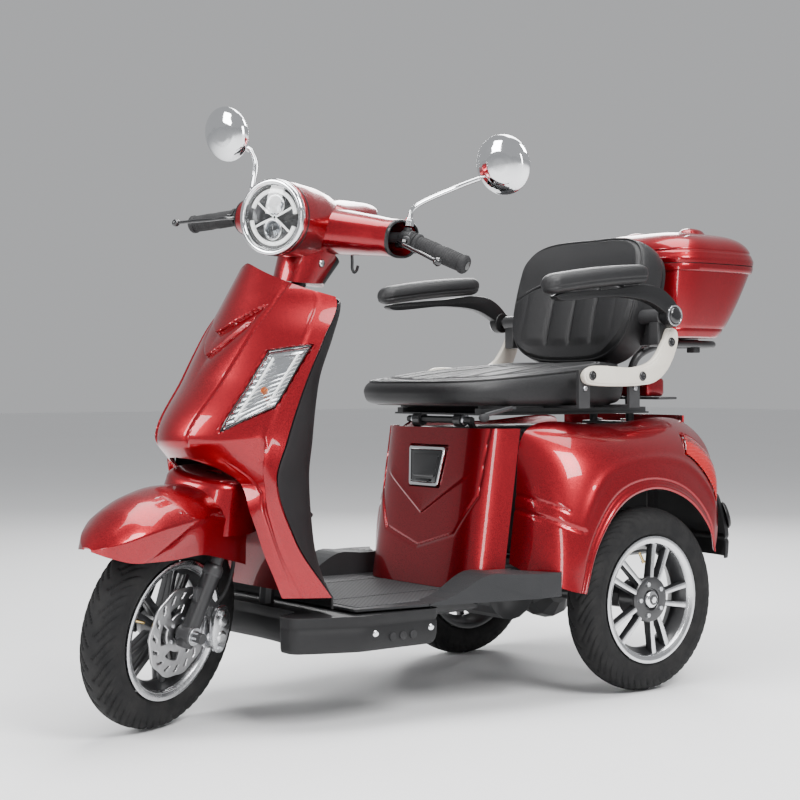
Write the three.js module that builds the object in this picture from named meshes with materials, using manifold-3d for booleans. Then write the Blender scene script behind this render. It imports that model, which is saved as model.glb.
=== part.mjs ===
// Three-wheeled electric mobility scooter. Millimetres, +Z up, the front faces -Y, +X is the rider's left.
// The origin is on the ground, under the middle of the vehicle's bounding box.
import * as THREE from 'three';
import { ParametricGeometry } from 'three/addons/geometries/ParametricGeometry.js';
import { mergeVertices } from 'three/addons/utils/BufferGeometryUtils.js';
import Module from 'manifold-3d';

const wasm = await Module();
wasm.setup();

// ---------------------------------------------------------------- driving dimensions
const WHEELBASE = 1054;
const REAR_TRACK = 618;
const FRONT_AXLE_Y = -710;
const REAR_AXLE_Y = FRONT_AXLE_Y + WHEELBASE;

const TYRE_OD = 410;
const TYRE_WIDTH = 84;
const BEAD_R = 127;
const FLANGE_R = 141;
const RIM_WIDTH = 74;
const SPOKES = 5;
const AXLE_Z = TYRE_OD / 2;

const RAKE = 25;
const STEER_TURN = 23.2;
const STEER_LIFT = 0.66;
const HEAD_OFFSET = 15;
const FORK_HALF = 70;
const STANCHION_R = 13;
const SLIDER_R = 18;
const STEERER_R = 16;
const HEAD_TUBE_R = 26;
const CROWN_S = 312;
const STEM_S = 852;

const GROUND_CLEARANCE = 186;
const FLOOR_Z = 234;
const FLOOR_HALF = 282;
const DECK_FRONT = 300;
const PEDESTAL_HALF = 216;
const BODY_TOP = 588;
const PANEL = 4;

const FRAME_HALF = 150;
const RAIL_Z = 206;
const UPPER_RAIL_Z = 292;
const TUBE_R = 14;

const SEAT_HALF = 230;
const SEAT_BOTTOM = 638;
const SEAT_TOP = 724;
const SEAT_LENGTH = 535;
const SEAT_RISE = 50;
const BACK_HALF = 212;
const BACK_LEAN = 16;
const ARM_X = 288;

const BOX_HALF = 198;
const BOX_LENGTH = 322;
const BOX_FLOOR_Z = 798;
const BOX_RIM_Z = 978;
const LID_HEIGHT = 84;

const SHAPE_GAP = 0.4;
const LENS_LIFT = 2.6;
const FIT = 1;

// ---------------------------------------------------------------- small helpers
const V = (x, y, z) => new THREE.Vector3(x, y, z);
const rad = THREE.MathUtils.degToRad;
const mix = THREE.MathUtils.lerp;
const fromFront = (d) => FRONT_AXLE_Y + d;
const fromRear = (d) => REAR_AXLE_Y + d;
const HEAD_DIR = V(0, Math.sin(rad(RAKE)), Math.cos(rad(RAKE)));
const HEAD_AHEAD = V(0, -Math.cos(rad(RAKE)), Math.sin(rad(RAKE)));
const HEAD_BASE = V(0, fromFront(HEAD_OFFSET), AXLE_Z);

// A point s along the steering axis, a ahead of it and x to the left.
function onHead(s, a = 0, x = 0) {
  return HEAD_BASE.clone().addScaledVector(HEAD_DIR, s).addScaledVector(HEAD_AHEAD, a).add(V(x, 0, 0));
}

// Reads a smooth value between [position, value] pairs.
function between(pairs, at) {
  const first = pairs[0];
  const last = pairs[pairs.length - 1];
  const rising = last[0] > first[0];
  const inside = THREE.MathUtils.clamp(at, rising ? first[0] : last[0], rising ? last[0] : first[0]);
  let k = 0;
  while (k < pairs.length - 2 && (rising ? inside > pairs[k + 1][0] : inside < pairs[k + 1][0])) {
    k += 1;
  }
  const t = (inside - pairs[k][0]) / (pairs[k + 1][0] - pairs[k][0]);
  return mix(pairs[k][1], pairs[k + 1][1], t * t * (3 - 2 * t) * 0.35 + t * 0.65);
}

// Turns a closed geometry into a solid, with its faces pointing out.
function solid(geometry) {
  const bare = geometry.index ? geometry.toNonIndexed() : geometry.clone();
  for (const name of Object.keys(bare.attributes)) {
    if (name !== 'position') {
      bare.deleteAttribute(name);
    }
  }
  const merged = mergeVertices(bare, 1e-3);
  const corners = merged.index.array;
  const kept = [];
  for (let i = 0; i < corners.length; i += 3) {
    const [a, b, c] = [corners[i], corners[i + 1], corners[i + 2]];
    if (a !== b && b !== c && c !== a) {
      kept.push(a, b, c);
    }
  }
  const p = merged.attributes.position;
  let volume = 0;
  const [va, vb, vc] = [V(0, 0, 0), V(0, 0, 0), V(0, 0, 0)];
  for (let i = 0; i < kept.length; i += 3) {
    va.fromBufferAttribute(p, kept[i]);
    vb.fromBufferAttribute(p, kept[i + 1]);
    vc.fromBufferAttribute(p, kept[i + 2]);
    volume += va.dot(vb.cross(vc));
  }
  if (volume < 0) {
    for (let i = 0; i < kept.length; i += 3) {
      [kept[i + 1], kept[i + 2]] = [kept[i + 2], kept[i + 1]];
    }
  }
  const mesh = { numProp: 3, vertProperties: new Float32Array(p.array), triVerts: new Uint32Array(kept) };
  return new wasm.Manifold(new wasm.Mesh(mesh));
}

function join(...solids) {
  return solids.reduce((sum, next) => sum.add(next));
}

function mirrored(shape) {
  const mesh = shape.getMesh();
  const geometry = geometryOf(mesh);
  return solid(geometry.scale(-1, 1, 1));
}

function both(make) {
  return join(make(1), make(-1));
}

function geometryOf(mesh) {
  const geometry = new THREE.BufferGeometry();
  geometry.setAttribute('position', new THREE.Float32BufferAttribute(mesh.vertProperties, 3));
  geometry.setIndex(Array.from(mesh.triVerts));
  return geometry;
}

function block(x0, x1, y0, y1, z0, z1) {
  const geometry = new THREE.BoxGeometry(Math.abs(x1 - x0), Math.abs(y1 - y0), Math.abs(z1 - z0));
  return solid(geometry.translate((x0 + x1) / 2, (y0 + y1) / 2, (z0 + z1) / 2));
}

// Points a geometry made along +Y from the origin at b, seen from a.
function aim(geometry, a, b) {
  const turn = new THREE.Quaternion().setFromUnitVectors(V(0, 1, 0), b.clone().sub(a).normalize());
  return geometry.applyQuaternion(turn).translate(a.x, a.y, a.z);
}

function rod(a, b, r, sides = 6, endR = r) {
  const length = a.distanceTo(b);
  const geometry = new THREE.CylinderGeometry(endR, r, length, sides).translate(0, length / 2, 0);
  return solid(aim(geometry, a, b));
}

// A turned body around the line from a to b: pairs are [radius, distance from a].
function turned(pairs, a, b, sides = 20, phase = 0) {
  const profile = pairs.map(([r, s]) => new THREE.Vector2(r, s));
  return solid(aim(new THREE.LatheGeometry(profile, sides, phase), a, b));
}

function ring(a, b, outer, inner, sides = 20) {
  const length = a.distanceTo(b);
  return turned([[inner, 0], [outer, 0], [outer, length], [inner, length], [inner, 0]], a, b, sides);
}

// A bent round bar through points.
function bent(points, r, steps, sides = 8) {
  const corner = (k) => [r * Math.cos((k / sides) * Math.PI * 2), r * Math.sin((k / sides) * Math.PI * 2)];
  const circle = outline(Array.from({ length: sides }, (_, k) => corner(k)));
  const path = new THREE.CatmullRomCurve3(points, false, 'centripetal');
  const settings = { steps, extrudePath: path, bevelEnabled: false };
  return solid(new THREE.ExtrudeGeometry(circle, settings));
}

function outline(points) {
  return new THREE.Shape(points.map(([a, b]) => new THREE.Vector2(a, b)));
}

function smoothOutline(points, divisions) {
  const curve = new THREE.SplineCurve(points.map(([a, b]) => new THREE.Vector2(a, b)));
  return curve.getPoints(divisions).map((p) => [p.x, p.y]);
}

// An outline in (y, z), extruded from x0 to x1.
function sideCut(points, x0, x1) {
  const geometry = new THREE.ExtrudeGeometry(outline(points), { depth: Math.abs(x1 - x0), bevelEnabled: false });
  const turn = new THREE.Matrix4().makeBasis(V(0, 1, 0), V(0, 0, 1), V(1, 0, 0));
  return solid(geometry.applyMatrix4(turn).translate(Math.min(x0, x1), 0, 0));
}

// An outline in (x, z), extruded from y0 to y1.
function frontCut(points, y0, y1) {
  const geometry = new THREE.ExtrudeGeometry(outline(points), { depth: Math.abs(y1 - y0), bevelEnabled: false });
  const turn = new THREE.Matrix4().makeBasis(V(1, 0, 0), V(0, 0, 1), V(0, -1, 0));
  return solid(geometry.applyMatrix4(turn).translate(0, Math.max(y0, y1), 0));
}

// An outline in (x, y), extruded from z0 to z1.
function planCut(points, z0, z1) {
  const geometry = new THREE.ExtrudeGeometry(outline(points), { depth: z1 - z0, bevelEnabled: false });
  return solid(geometry.translate(0, 0, z0));
}

// A skin of even thickness behind surface(u, v), both from 0 to 1. The sign of thickness picks the side.
function sheet(surface, thickness, across, along, lift = 0) {
  const step = 1e-3;
  const normalAt = (u, v) => {
    const [u0, u1] = [Math.max(u - step, 0), Math.min(u + step, 1)];
    const [v0, v1] = [Math.max(v - step, 0), Math.min(v + step, 1)];
    const du = surface(u1, v).sub(surface(u0, v));
    const dv = surface(u, v1).sub(surface(u, v0));
    return du.cross(dv).normalize();
  };
  const turns = 2 * across + 2;
  const rows = along + 2;
  const place = (s, t, target) => {
    const k = Math.round(s * turns) % turns;
    const row = Math.round(t * rows);
    const v = THREE.MathUtils.clamp((row - 1) / along, 0, 1);
    const back = k > across;
    const u = back ? (turns - 1 - k) / across : k / across;
    const capped = row === 0 || row === rows;
    const depth = capped ? 0.5 : Number(back);
    target.copy(surface(u, v)).addScaledVector(normalAt(u, v), lift + depth * thickness);
  };
  return solid(new ParametricGeometry(place, turns, rows));
}

// A closed body swept through rings: ringAt(u, v) goes round as u runs 0 to 1.
function loft(ringAt, round, along) {
  const place = (u, t, target) => {
    const row = Math.round(t * (along + 2));
    const v = THREE.MathUtils.clamp((row - 1) / along, 0, 1);
    const at = u === 1 ? 0 : u;
    if (row === 0 || row === along + 2) {
      target.copy(ringAt(0, v)).add(ringAt(0.5, v)).multiplyScalar(0.5);
    } else {
      target.copy(ringAt(at, v));
    }
  };
  return solid(new ParametricGeometry(place, round, along + 2));
}

// A point on a rounded rectangle of half sizes a and b; power 2 is an ellipse, 4 and more a soft box.
function squircle(u, a, b, power) {
  const angle = u * Math.PI * 2;
  const [c, s] = [Math.cos(angle), Math.sin(angle)];
  const size = Math.pow(Math.pow(Math.abs(c), power) + Math.pow(Math.abs(s), power), -1 / power);
  return [a * c * size, b * s * size];
}

// ---------------------------------------------------------------- colours and scene graph
const COLOURS = {
  red: [0x8e0a14, 0.2, 0.35],
  black: [0x151516, 0.6, 0],
  leather: [0x1b1b1c, 0.55, 0],
  rubber: [0x1c1c1d, 0.85, 0],
  alloy: [0xc7c9cc, 0.3, 1],
  chrome: [0xe6e8ea, 0.08, 1],
  steel: [0x26272a, 0.45, 0.6],
  lens: [0xd9dee2, 0.1, 0.1],
  amber: [0xc02a12, 0.2, 0],
  white: [0xd8d3c8, 0.4, 0.1],
  grey: [0x2b2c2e, 0.7, 0],
};

const root = new THREE.Group();
const steering = new THREE.Group();
const steeringShift = new THREE.Group();
steering.position.copy(HEAD_BASE).addScaledVector(HEAD_DIR, STEER_LIFT);
steering.quaternion.setFromAxisAngle(HEAD_DIR, rad(STEER_TURN));
steeringShift.position.copy(HEAD_BASE).negate();
root.add(steering);
steering.add(steeringShift);

function add(name, shape, colour, group = root) {
  const [color, roughness, metalness] = COLOURS[colour];
  const geometry = geometryOf(shape.getMesh());
  geometry.computeVertexNormals();
  const mesh = new THREE.Mesh(geometry, new THREE.MeshStandardMaterial({ color, roughness, metalness }));
  mesh.name = name;
  group.add(mesh);
}

function addPair(name, shape, colour, group = root) {
  add(`${name}_left`, shape, colour, group);
  add(`${name}_right`, mirrored(shape), colour, group);
}

// ---------------------------------------------------------------- wheels
const WHEEL_SIDES = 18;
const HALF_FACET = Math.PI / WHEEL_SIDES;
const RIM_WALL = 4;

function tyreShape(centre) {
  const half = TYRE_WIDTH / 2;
  const outer = TYRE_OD / 2 / Math.cos(HALF_FACET);
  const bead = RIM_WIDTH / 2 - RIM_WALL - FIT;
  const wall = 9;
  const pairs = [
    [BEAD_R + FIT, half - bead],
    [FLANGE_R + FIT, half - bead],
    [(FLANGE_R + outer) / 2, 0],
    [outer - 14, half * 0.15],
    [outer, half * 0.72],
    [outer, half * 1.28],
    [outer - 14, half * 1.85],
    [(FLANGE_R + outer) / 2, half * 2],
    [FLANGE_R + FIT, half + bead],
    [BEAD_R + FIT, half + bead],
    [BEAD_R + FIT, half + bead - wall],
    [outer - wall - 8, half * 1.6],
    [outer - wall - 8, half * 0.4],
    [BEAD_R + FIT, half - bead + wall],
    [BEAD_R + FIT, half - bead],
  ];
  return turned(pairs, centre.clone().add(V(-half, 0, 0)), centre.clone().add(V(half, 0, 0)), WHEEL_SIDES, HALF_FACET);
}

function barrelShape(centre) {
  const half = RIM_WIDTH / 2;
  const well = BEAD_R - 14;
  const pairs = [
    [FLANGE_R, 0],
    [FLANGE_R, RIM_WALL],
    [BEAD_R, RIM_WALL],
    [BEAD_R, half - 12],
    [well, half],
    [BEAD_R, half + 12],
    [BEAD_R, 2 * half - RIM_WALL],
    [FLANGE_R, 2 * half - RIM_WALL],
    [FLANGE_R, 2 * half],
    [BEAD_R - RIM_WALL, 2 * half],
    [well - RIM_WALL, half],
    [BEAD_R - RIM_WALL, 0],
    [FLANGE_R, 0],
  ];
  return turned(pairs, centre.clone().add(V(-half, 0, 0)), centre.clone().add(V(half, 0, 0)), WHEEL_SIDES, HALF_FACET);
}

// Pairs of spokes from the hub to the barrel: side is +1 when the face looks along +X.
function spokesShape(centre, hubR, x0, x1) {
  const reach = BEAD_R - 8;
  let spokes = null;
  for (let k = 0; k < SPOKES; k += 1) {
    for (const twin of [-1, 1]) {
      const angle = (k / SPOKES) * Math.PI * 2;
      const shape = outline([[hubR - 4, 4 * twin], [hubR - 4, 16 * twin], [reach, 30 * twin], [reach, 15 * twin]]);
      const geometry = new THREE.ExtrudeGeometry(shape, { depth: x1 - x0, bevelEnabled: false });
      geometry.rotateZ(angle).rotateY(Math.PI / 2).translate(centre.x + x0, centre.y, centre.z);
      const spoke = solid(geometry);
      spokes = spokes ? spokes.add(spoke) : spoke;
    }
  }
  return spokes;
}

const REAR_WHEEL_X = REAR_TRACK / 2;
const HUB_R = 44;
const HUB_BORE = 13;
const REAR_HUB_IN = -30;

function rearWheel(side) {
  const centre = V(REAR_WHEEL_X, REAR_AXLE_Y, AXLE_Z);
  const hub = ring(V(REAR_WHEEL_X + REAR_HUB_IN, REAR_AXLE_Y, AXLE_Z), V(REAR_WHEEL_X + 34, REAR_AXLE_Y, AXLE_Z),
    HUB_R, HUB_BORE, WHEEL_SIDES);
  const rim = join(barrelShape(centre), spokesShape(centre, HUB_R, 14, 32), hub);
  const tyre = tyreShape(centre);
  const name = side > 0 ? 'left' : 'right';
  add(`rear_tyre_${name}`, side > 0 ? tyre : mirrored(tyre), 'rubber');
  add(`rear_rim_${name}`, side > 0 ? rim : mirrored(rim), 'alloy');
}

const DISC_R = 90;
const DISC_X = 45;
const DISC_THICK = 4;

function frontWheel() {
  const centre = V(0, FRONT_AXLE_Y, AXLE_Z);
  const hub = ring(V(-40, FRONT_AXLE_Y, AXLE_Z), V(40, FRONT_AXLE_Y, AXLE_Z), 34, HUB_BORE, WHEEL_SIDES);
  add('front_tyre', tyreShape(centre), 'rubber', steeringShift);
  add('front_rim', join(barrelShape(centre), spokesShape(centre, 34, -14, 14), hub), 'alloy', steeringShift);
  let disc = ring(V(DISC_X, FRONT_AXLE_Y, AXLE_Z), V(DISC_X + DISC_THICK, FRONT_AXLE_Y, AXLE_Z), DISC_R, 17, 20);
  for (let k = 0; k < 6; k += 1) {
    const angle = (k / 6) * Math.PI * 2;
    const at = V(DISC_X - 1, FRONT_AXLE_Y + 46 * Math.cos(angle), AXLE_Z + 46 * Math.sin(angle));
    disc = disc.subtract(rod(at, at.clone().add(V(DISC_THICK + 2, 0, 0)), 13, 6));
  }
  add('brake_disc', disc, 'alloy', steeringShift);
}

// ---------------------------------------------------------------- fork and front fender
const SLIDER_TOP = 150;
const SLIDER_BOTTOM = -24;
const FORK_TRAVEL = 25;
const AXLE_R = HUB_BORE - FIT;
const STANCHION_END = 60;

function legPoint(s, side) {
  return V(side * FORK_HALF, FRONT_AXLE_Y, AXLE_Z).addScaledVector(HEAD_DIR, s);
}

function forkSliders() {
  const leg = (side) => rod(legPoint(SLIDER_BOTTOM, side), legPoint(SLIDER_TOP, side), SLIDER_R, 10);
  const bore = (side) => rod(legPoint(STANCHION_END - FORK_TRAVEL - 5, side), legPoint(SLIDER_TOP + 1, side),
    STANCHION_R + FIT, 10);
  const axle = rod(V(-FORK_HALF - 34, FRONT_AXLE_Y, AXLE_Z), V(FORK_HALF + 34, FRONT_AXLE_Y, AXLE_Z), AXLE_R, 14);
  const tab = sideCut([
    [fromFront(4), AXLE_Z + 96], [fromFront(26), AXLE_Z + 92], [fromFront(102), AXLE_Z + 34],
    [fromFront(102), AXLE_Z - 30], [fromFront(82), AXLE_Z - 34], [fromFront(64), AXLE_Z + 24],
    [fromFront(10), AXLE_Z + 62],
  ], FORK_HALF - 5, FORK_HALF + 5);
  return join(both(leg), axle, tab).subtract(both(bore));
}

function caliperShape() {
  const body = sideCut(smoothOutline([
    [fromFront(68), AXLE_Z + 34], [fromFront(100), AXLE_Z + 30], [fromFront(112), AXLE_Z],
    [fromFront(98), AXLE_Z - 44], [fromFront(66), AXLE_Z - 36], [fromFront(58), AXLE_Z], [fromFront(68), AXLE_Z + 34],
  ], 14).slice(0, -1), DISC_X - 9, DISC_X + 19);
  const slot = block(DISC_X - 2, DISC_X + DISC_THICK + 2, fromFront(40), fromFront(94), AXLE_Z - 60, AXLE_Z + 60);
  return body.subtract(slot);
}

function brakeHose() {
  const x = DISC_X + 10;
  return bent([
    V(x, fromFront(92), AXLE_Z + 36), V(x + 4, fromFront(122), AXLE_Z + 66), V(x + 6, fromFront(136), AXLE_Z + 122),
    V(x + 4, fromFront(126), AXLE_Z + 172), V(x + 2, fromFront(118), AXLE_Z + 200),
  ], 4, 16, 8);
}

function forkCrown() {
  const plate = rod(onHead(CROWN_S, 0, -FORK_HALF), onHead(CROWN_S, 0, FORK_HALF), 17, 8);
  const stanchion = (side) => rod(legPoint(STANCHION_END, side), legPoint(CROWN_S + 8, side), STANCHION_R, 10);
  const steerer = rod(onHead(CROWN_S, 0), onHead(STEM_S, 0), STEERER_R, 14);
  const mount = rod(onHead(CROWN_S - 4, 10), V(0, fromFront(40), AXLE_Z + 254), 10, 6);
  return join(plate, both(stanchion), steerer, mount);
}

const FENDER_TIP = -242;
const FENDER_END = 132;
const fenderTop = [[-242, 192], [-222, 210], [-200, 227], [-160, 253], [-100, 275], [-30, 285], [40, 284], [132, 262]];
const fenderHalf = [[-242, 9], [-226, 32], [-200, 56], [-160, 76], [-100, 89], [0, 97], [132, 97]];
const fenderHem = [[-242, 184], [-222, 176], [-180, 167], [-100, 166], [-23, 169], [40, 156], [132, 130]];

// The fender's skin: u runs from the right hem over the crown to the left hem, v from tip to tail.
function fenderPoint(u, v) {
  const d = mix(FENDER_TIP, FENDER_END, v);
  const [top, half, hem] = [fenderTop, fenderHalf, fenderHem].map((pairs) => between(pairs, d));
  const across = 2 * u - 1;
  const ridge = 0.62;
  const far = Math.abs(across);
  const side = Math.sign(across);
  const ridgeZ = mix(hem, top, 0.62);
  if (far <= ridge) {
    const t = far / ridge;
    return V(side * half * 0.93 * t, fromFront(d), AXLE_Z + mix(top, ridgeZ, Math.pow(t, 2.4)));
  }
  const t = (far - ridge) / (1 - ridge);
  return V(side * half * mix(0.93, 1, t), fromFront(d), AXLE_Z + mix(ridgeZ, hem, t));
}

function frontFender() {
  const skin = sheet(fenderPoint, PANEL, 10, 8);
  const dome = (inset, lower, v0) => loft((u, v) => {
    const [a, b] = squircle(u, mix(100, 92, v) - inset, mix(97, 82, v) - inset, 2.5);
    const d = mix(108, 118, v) + b;
    const z = mix(v0, 300, v) + v * (d > 60 ? 4 : -12) - lower * v;
    return V(a, fromFront(d), AXLE_Z + z);
  }, 16, 2);
  const passage = rod(onHead(CROWN_S - 40), onHead(CROWN_S + 60), STEERER_R + 5, 14);
  const legHole = (side) => rod(legPoint(SLIDER_TOP, side), legPoint(CROWN_S, side), STANCHION_R + 4, 8);
  return skin.add(dome(0, 0, 250)).subtract(dome(PANEL, PANEL, 226)).subtract(passage).subtract(both(legHole));
}

// ---------------------------------------------------------------- handlebar group
const GRIP_IN = 232;
const GRIP_OUT = 348;
const BAR_R = 11;
const GRIP_R = 17;
const BAR_Z = AXLE_Z + 781;
const BAR_Y = fromFront(408);
const BAR_DROOP = 0.245;
const barPoint = (x) => V(x, BAR_Y, BAR_Z + (350 - Math.abs(x)) * BAR_DROOP);

function handlebarShape() {
  const middle = onHead(STEM_S + 24, 0);
  const straight = (side) => rod(barPoint(side * 208), barPoint(side * 350), BAR_R, 10);
  const sweep = [V(212, BAR_Y, barPoint(212).z), V(204, BAR_Y, barPoint(204).z), V(110, BAR_Y - 8, BAR_Z + 26)];
  const across = sweep.concat([V(34, middle.y, middle.z)]);
  const bar = bent(across.concat(across.map((p) => V(-p.x, p.y, p.z)).reverse()), BAR_R, 14, 8);
  const clamp = rod(onHead(STEM_S - 30), onHead(STEM_S + 42), 25, 12).subtract(
    rod(onHead(STEM_S - 40), onHead(STEM_S + 6), STEERER_R + SHAPE_GAP, 14));
  const perch = (side) => {
    const at = barPoint(side * 210);
    const collar = rod(V(side * 199, at.y, at.z + 1), V(side * 221, at.y, at.z - 1), 17, 8);
    const arm = rod(V(side * 210, at.y, at.z), V(side * 222, at.y - 26, at.z - 2), 9, 6);
    const boss = rod(V(side * 207, at.y, at.z + 8), V(side * 207, at.y + 2, at.z + 24), 9, 6);
    return join(collar, arm, boss);
  };
  return join(bar, both(straight), clamp, both(perch));
}

function gripShape(side) {
  const [a, b] = [barPoint(side * GRIP_IN), barPoint(side * (GRIP_OUT + 4))];
  const length = a.distanceTo(b);
  const pairs = [
    [BAR_R + SHAPE_GAP, 0], [GRIP_R + 4, 0], [GRIP_R + 4, 7], [GRIP_R, 9], [GRIP_R, length - 8],
    [GRIP_R + 3, length - 6], [GRIP_R + 3, length], [GRIP_R - 3, length + 6], [0, length + 6],
    [0, length + 1], [BAR_R + SHAPE_GAP, length + 1], [BAR_R + SHAPE_GAP, 0],
  ];
  return turned(pairs, a, b, 12);
}

const LEVER_PIVOT = V(226, BAR_Y - 40, BAR_Z + 26);

function leverShape() {
  const [x, y, z] = [LEVER_PIVOT.x, LEVER_PIVOT.y, LEVER_PIVOT.z];
  const tip = V(335, fromFront(324), AXLE_Z + 781);
  const blade = planCut([
    [x - 9, y + 10], [x - 12, y - 8], [x + 8, y - 14], [x + 50, y - 25], [tip.x, tip.y - 5],
    [tip.x, tip.y + 5], [x + 46, y - 12], [x + 12, y + 6],
  ], z - 4, z + 4);
  const slope = Math.atan2(z - tip.z, tip.x - x);
  const drop = new THREE.Matrix4().makeTranslation(x, y, z)
    .multiply(new THREE.Matrix4().makeRotationY(slope)).multiply(new THREE.Matrix4().makeTranslation(-x, -y, -z));
  const leaf = solid(geometryOf(blade.getMesh()).applyMatrix4(drop));
  const ball = solid(new THREE.SphereGeometry(9, 10, 8).translate(tip.x, tip.y, tip.z));
  return join(leaf, ball);
}

const POD_FRONT = fromFront(208);
const POD_Z = AXLE_Z + 826;
const POD_R = 78;
const COVER_HALF = 196;

// One cross-section of the cover's wings at x: centre (y, z) and half sizes.
function coverRing(u, x, shrink) {
  const far = Math.abs(x) / COVER_HALF;
  const y = fromFront(mix(385, 412, far));
  const z = AXLE_Z + mix(810, 814, far);
  const [a, b] = squircle(u, mix(96, 62, far ** 1.4) - shrink, mix(54, 38, far) - shrink, 2.6);
  return V(x, y + a, z + b);
}

function coverShape() {
  const wings = (half, shrink) => loft((u, v) => coverRing(u, mix(-half, half, v), shrink), 16, 6);
  const pod = (r, y0, y1) => loft((u, v) => {
    const size = r * mix(1, 0.9, v ** 2);
    return V(size * Math.cos(u * 2 * Math.PI), mix(y0, y1, v), POD_Z - 6 * v + size * Math.sin(u * 2 * Math.PI));
  }, 18, 2);
  const hood = loft((u, v) => {
    const [a, b] = squircle(u, mix(84, 62, v), mix(44, 30, v), 3);
    return V(a, fromFront(mix(360, 520, v)), AXLE_Z + mix(826, 848, v) + b);
  }, 14, 2);
  const neck = (r, from, to) => rod(onHead(from, 6), onHead(to, 6), r + 12, 12, r);
  const outer = join(wings(COVER_HALF, 0), pod(POD_R, POD_FRONT + 14, fromFront(380)), hood, neck(46, 782, 840));
  const inner = join(wings(COVER_HALF + 2, PANEL), pod(POD_R - PANEL, POD_FRONT + 12, fromFront(372)),
    neck(42, 778, 880));
  const display = block(-52, 52, fromFront(448), fromFront(540), AXLE_Z + 806, AXLE_Z + 872);
  const hook = bent([V(56, fromFront(440), AXLE_Z + 774), V(56, fromFront(448), AXLE_Z + 748),
    V(56, fromFront(452), AXLE_Z + 732), V(56, fromFront(462), AXLE_Z + 727), V(56, fromFront(470), AXLE_Z + 736)], 3, 7, 5);
  return outer.subtract(inner).subtract(display).add(hook);
}

function headlightRing() {
  const [a, b] = [V(0, POD_FRONT, POD_Z), V(0, POD_FRONT + 13.4, POD_Z)];
  return turned([[68, 0], [POD_R - 2, 0], [POD_R + 1, 5], [POD_R + 1, 13.2], [68, 13.2], [68, 0]], a, b, 20);
}

function headlightLens() {
  const [a, b] = [V(0, POD_FRONT - 3, POD_Z), V(0, POD_FRONT + 40, POD_Z)];
  return turned([[0, 0], [40, 2], [67.4, 8], [67.4, 16], [60, 38], [0, 42]], a, b, 20);
}

const KEY_AT = V(112, fromFront(484), AXLE_Z + 812);

function keySwitch() {
  const barrel = rod(KEY_AT, KEY_AT.clone().add(V(0, 9, 0)), 13, 14);
  const bow = block(KEY_AT.x - 2, KEY_AT.x + 2, KEY_AT.y + 8, KEY_AT.y + 30, KEY_AT.z - 10, KEY_AT.z + 10);
  return join(barrel, bow);
}

const MIRROR_BASE = V(207, BAR_Y + 2, BAR_Z + 62);
const MIRROR_HEAD = V(360, fromFront(500), AXLE_Z + 993);
const MIRROR_R = 63;
const MIRROR_JOINT = V(312, fromFront(515), AXLE_Z + 968);
const MIRROR_NECK = V(322, fromFront(505), AXLE_Z + 975);
const neckDir = MIRROR_NECK.clone().sub(MIRROR_JOINT).normalize();
const KNUCKLE = 15;

function mirrorStem() {
  const foot = MIRROR_BASE;
  const stem = bent([foot, V(207, foot.y + 2, foot.z + 16), V(209, foot.y + 6, foot.z + 36),
    V(262, fromFront(490), AXLE_Z + 934), MIRROR_JOINT.clone().addScaledVector(neckDir, -KNUCKLE + 2)], 5, 10, 6);
  const nut = rod(V(207, foot.y - 1, foot.z), V(207, foot.y, foot.z + 12), 10, 6);
  const knuckle = rod(MIRROR_JOINT.clone().addScaledVector(neckDir, -KNUCKLE),
    MIRROR_JOINT.clone().addScaledVector(neckDir, -SHAPE_GAP), 6, 8);
  return join(stem, nut, knuckle);
}

function mirrorHead() {
  const [a, b] = [V(360, fromFront(482), AXLE_Z + 989), V(360, fromFront(504), AXLE_Z + 993)];
  const dish = turned([[0, 0], [30, 2], [52, 8], [MIRROR_R, 18], [MIRROR_R, 22], [0, 22]], a, b, 20);
  const neck = rod(MIRROR_JOINT, MIRROR_NECK, 6, 8, 8);
  return join(dish, neck);
}

// ---------------------------------------------------------------- front bodywork
const SHIELD_FOOT = 264;
const shieldCentre = [[935, 210], [862, 171], [783, 128], [700, 84], [575, 17], [538, 36], [484, 84], [264, 44]];
const shieldHalf = [[935, 102], [895, 140], [862, 170], [783, 200], [690, 208], [575, 212], [499, 206], [380, 212], [264, 232]];
const shieldEdge = [[935, 290], [862, 312], [783, 264], [690, 212], [575, 164], [499, 143], [380, 182], [264, 257]];

// A point on the shield's outer face: t from -1 (right edge) to 1 (left edge), z the height above ground.
function shieldPoint(t, z) {
  const [centre, half, edge] = [shieldCentre, shieldHalf, shieldEdge].map((pairs) => between(pairs, z));
  return V(t * half, fromFront(mix(centre, edge, Math.abs(t) ** 1.9)), z);
}

const shieldTopZ = (t) => 935 - 73 * Math.abs(t) ** 1.5;

function frontShield() {
  const skin = sheet((u, v) => {
    const t = 2 * u - 1;
    return shieldPoint(t, mix(shieldTopZ(t), SHIELD_FOOT, v));
  }, PANEL, 14, 10);
  const arch = smoothOutline([[-181, 255], [-168, 330], [-132, 470], [-60, 531], [0, 539], [60, 531], [132, 470],
    [168, 330], [181, 255]], 18);
  return skin.subtract(frontCut(arch, fromFront(-80), fromFront(240)));
}

const wallDepth = [[484, 238], [430, 236], [350, 226], [264, 226]];

// The red wall behind the wheel, which runs out to the inside of the shield's legs.
function wheelWall() {
  return sheet((u, v) => {
    const z = mix(484, SHIELD_FOOT + 3, v);
    const t = 2 * u - 1;
    const leg = shieldPoint(0.97, z);
    return V(t * (leg.x - 2), mix(fromFront(between(wallDepth, z)), leg.y + 1, t ** 8), z);
  }, PANEL, 10, 4);
}

function turnSignal() {
  const corners = [[0.66, 752], [0.95, 764], [0.88, 640], [0.56, 590]];
  return sheet((u, v) => {
    const t = mix(mix(corners[0][0], corners[1][0], u), mix(corners[3][0], corners[2][0], u), v);
    const z = mix(mix(corners[0][1], corners[1][1], u), mix(corners[3][1], corners[2][1], u), v);
    return shieldPoint(t, z);
  }, -5, 3, 5, -LENS_LIFT);
}

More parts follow.
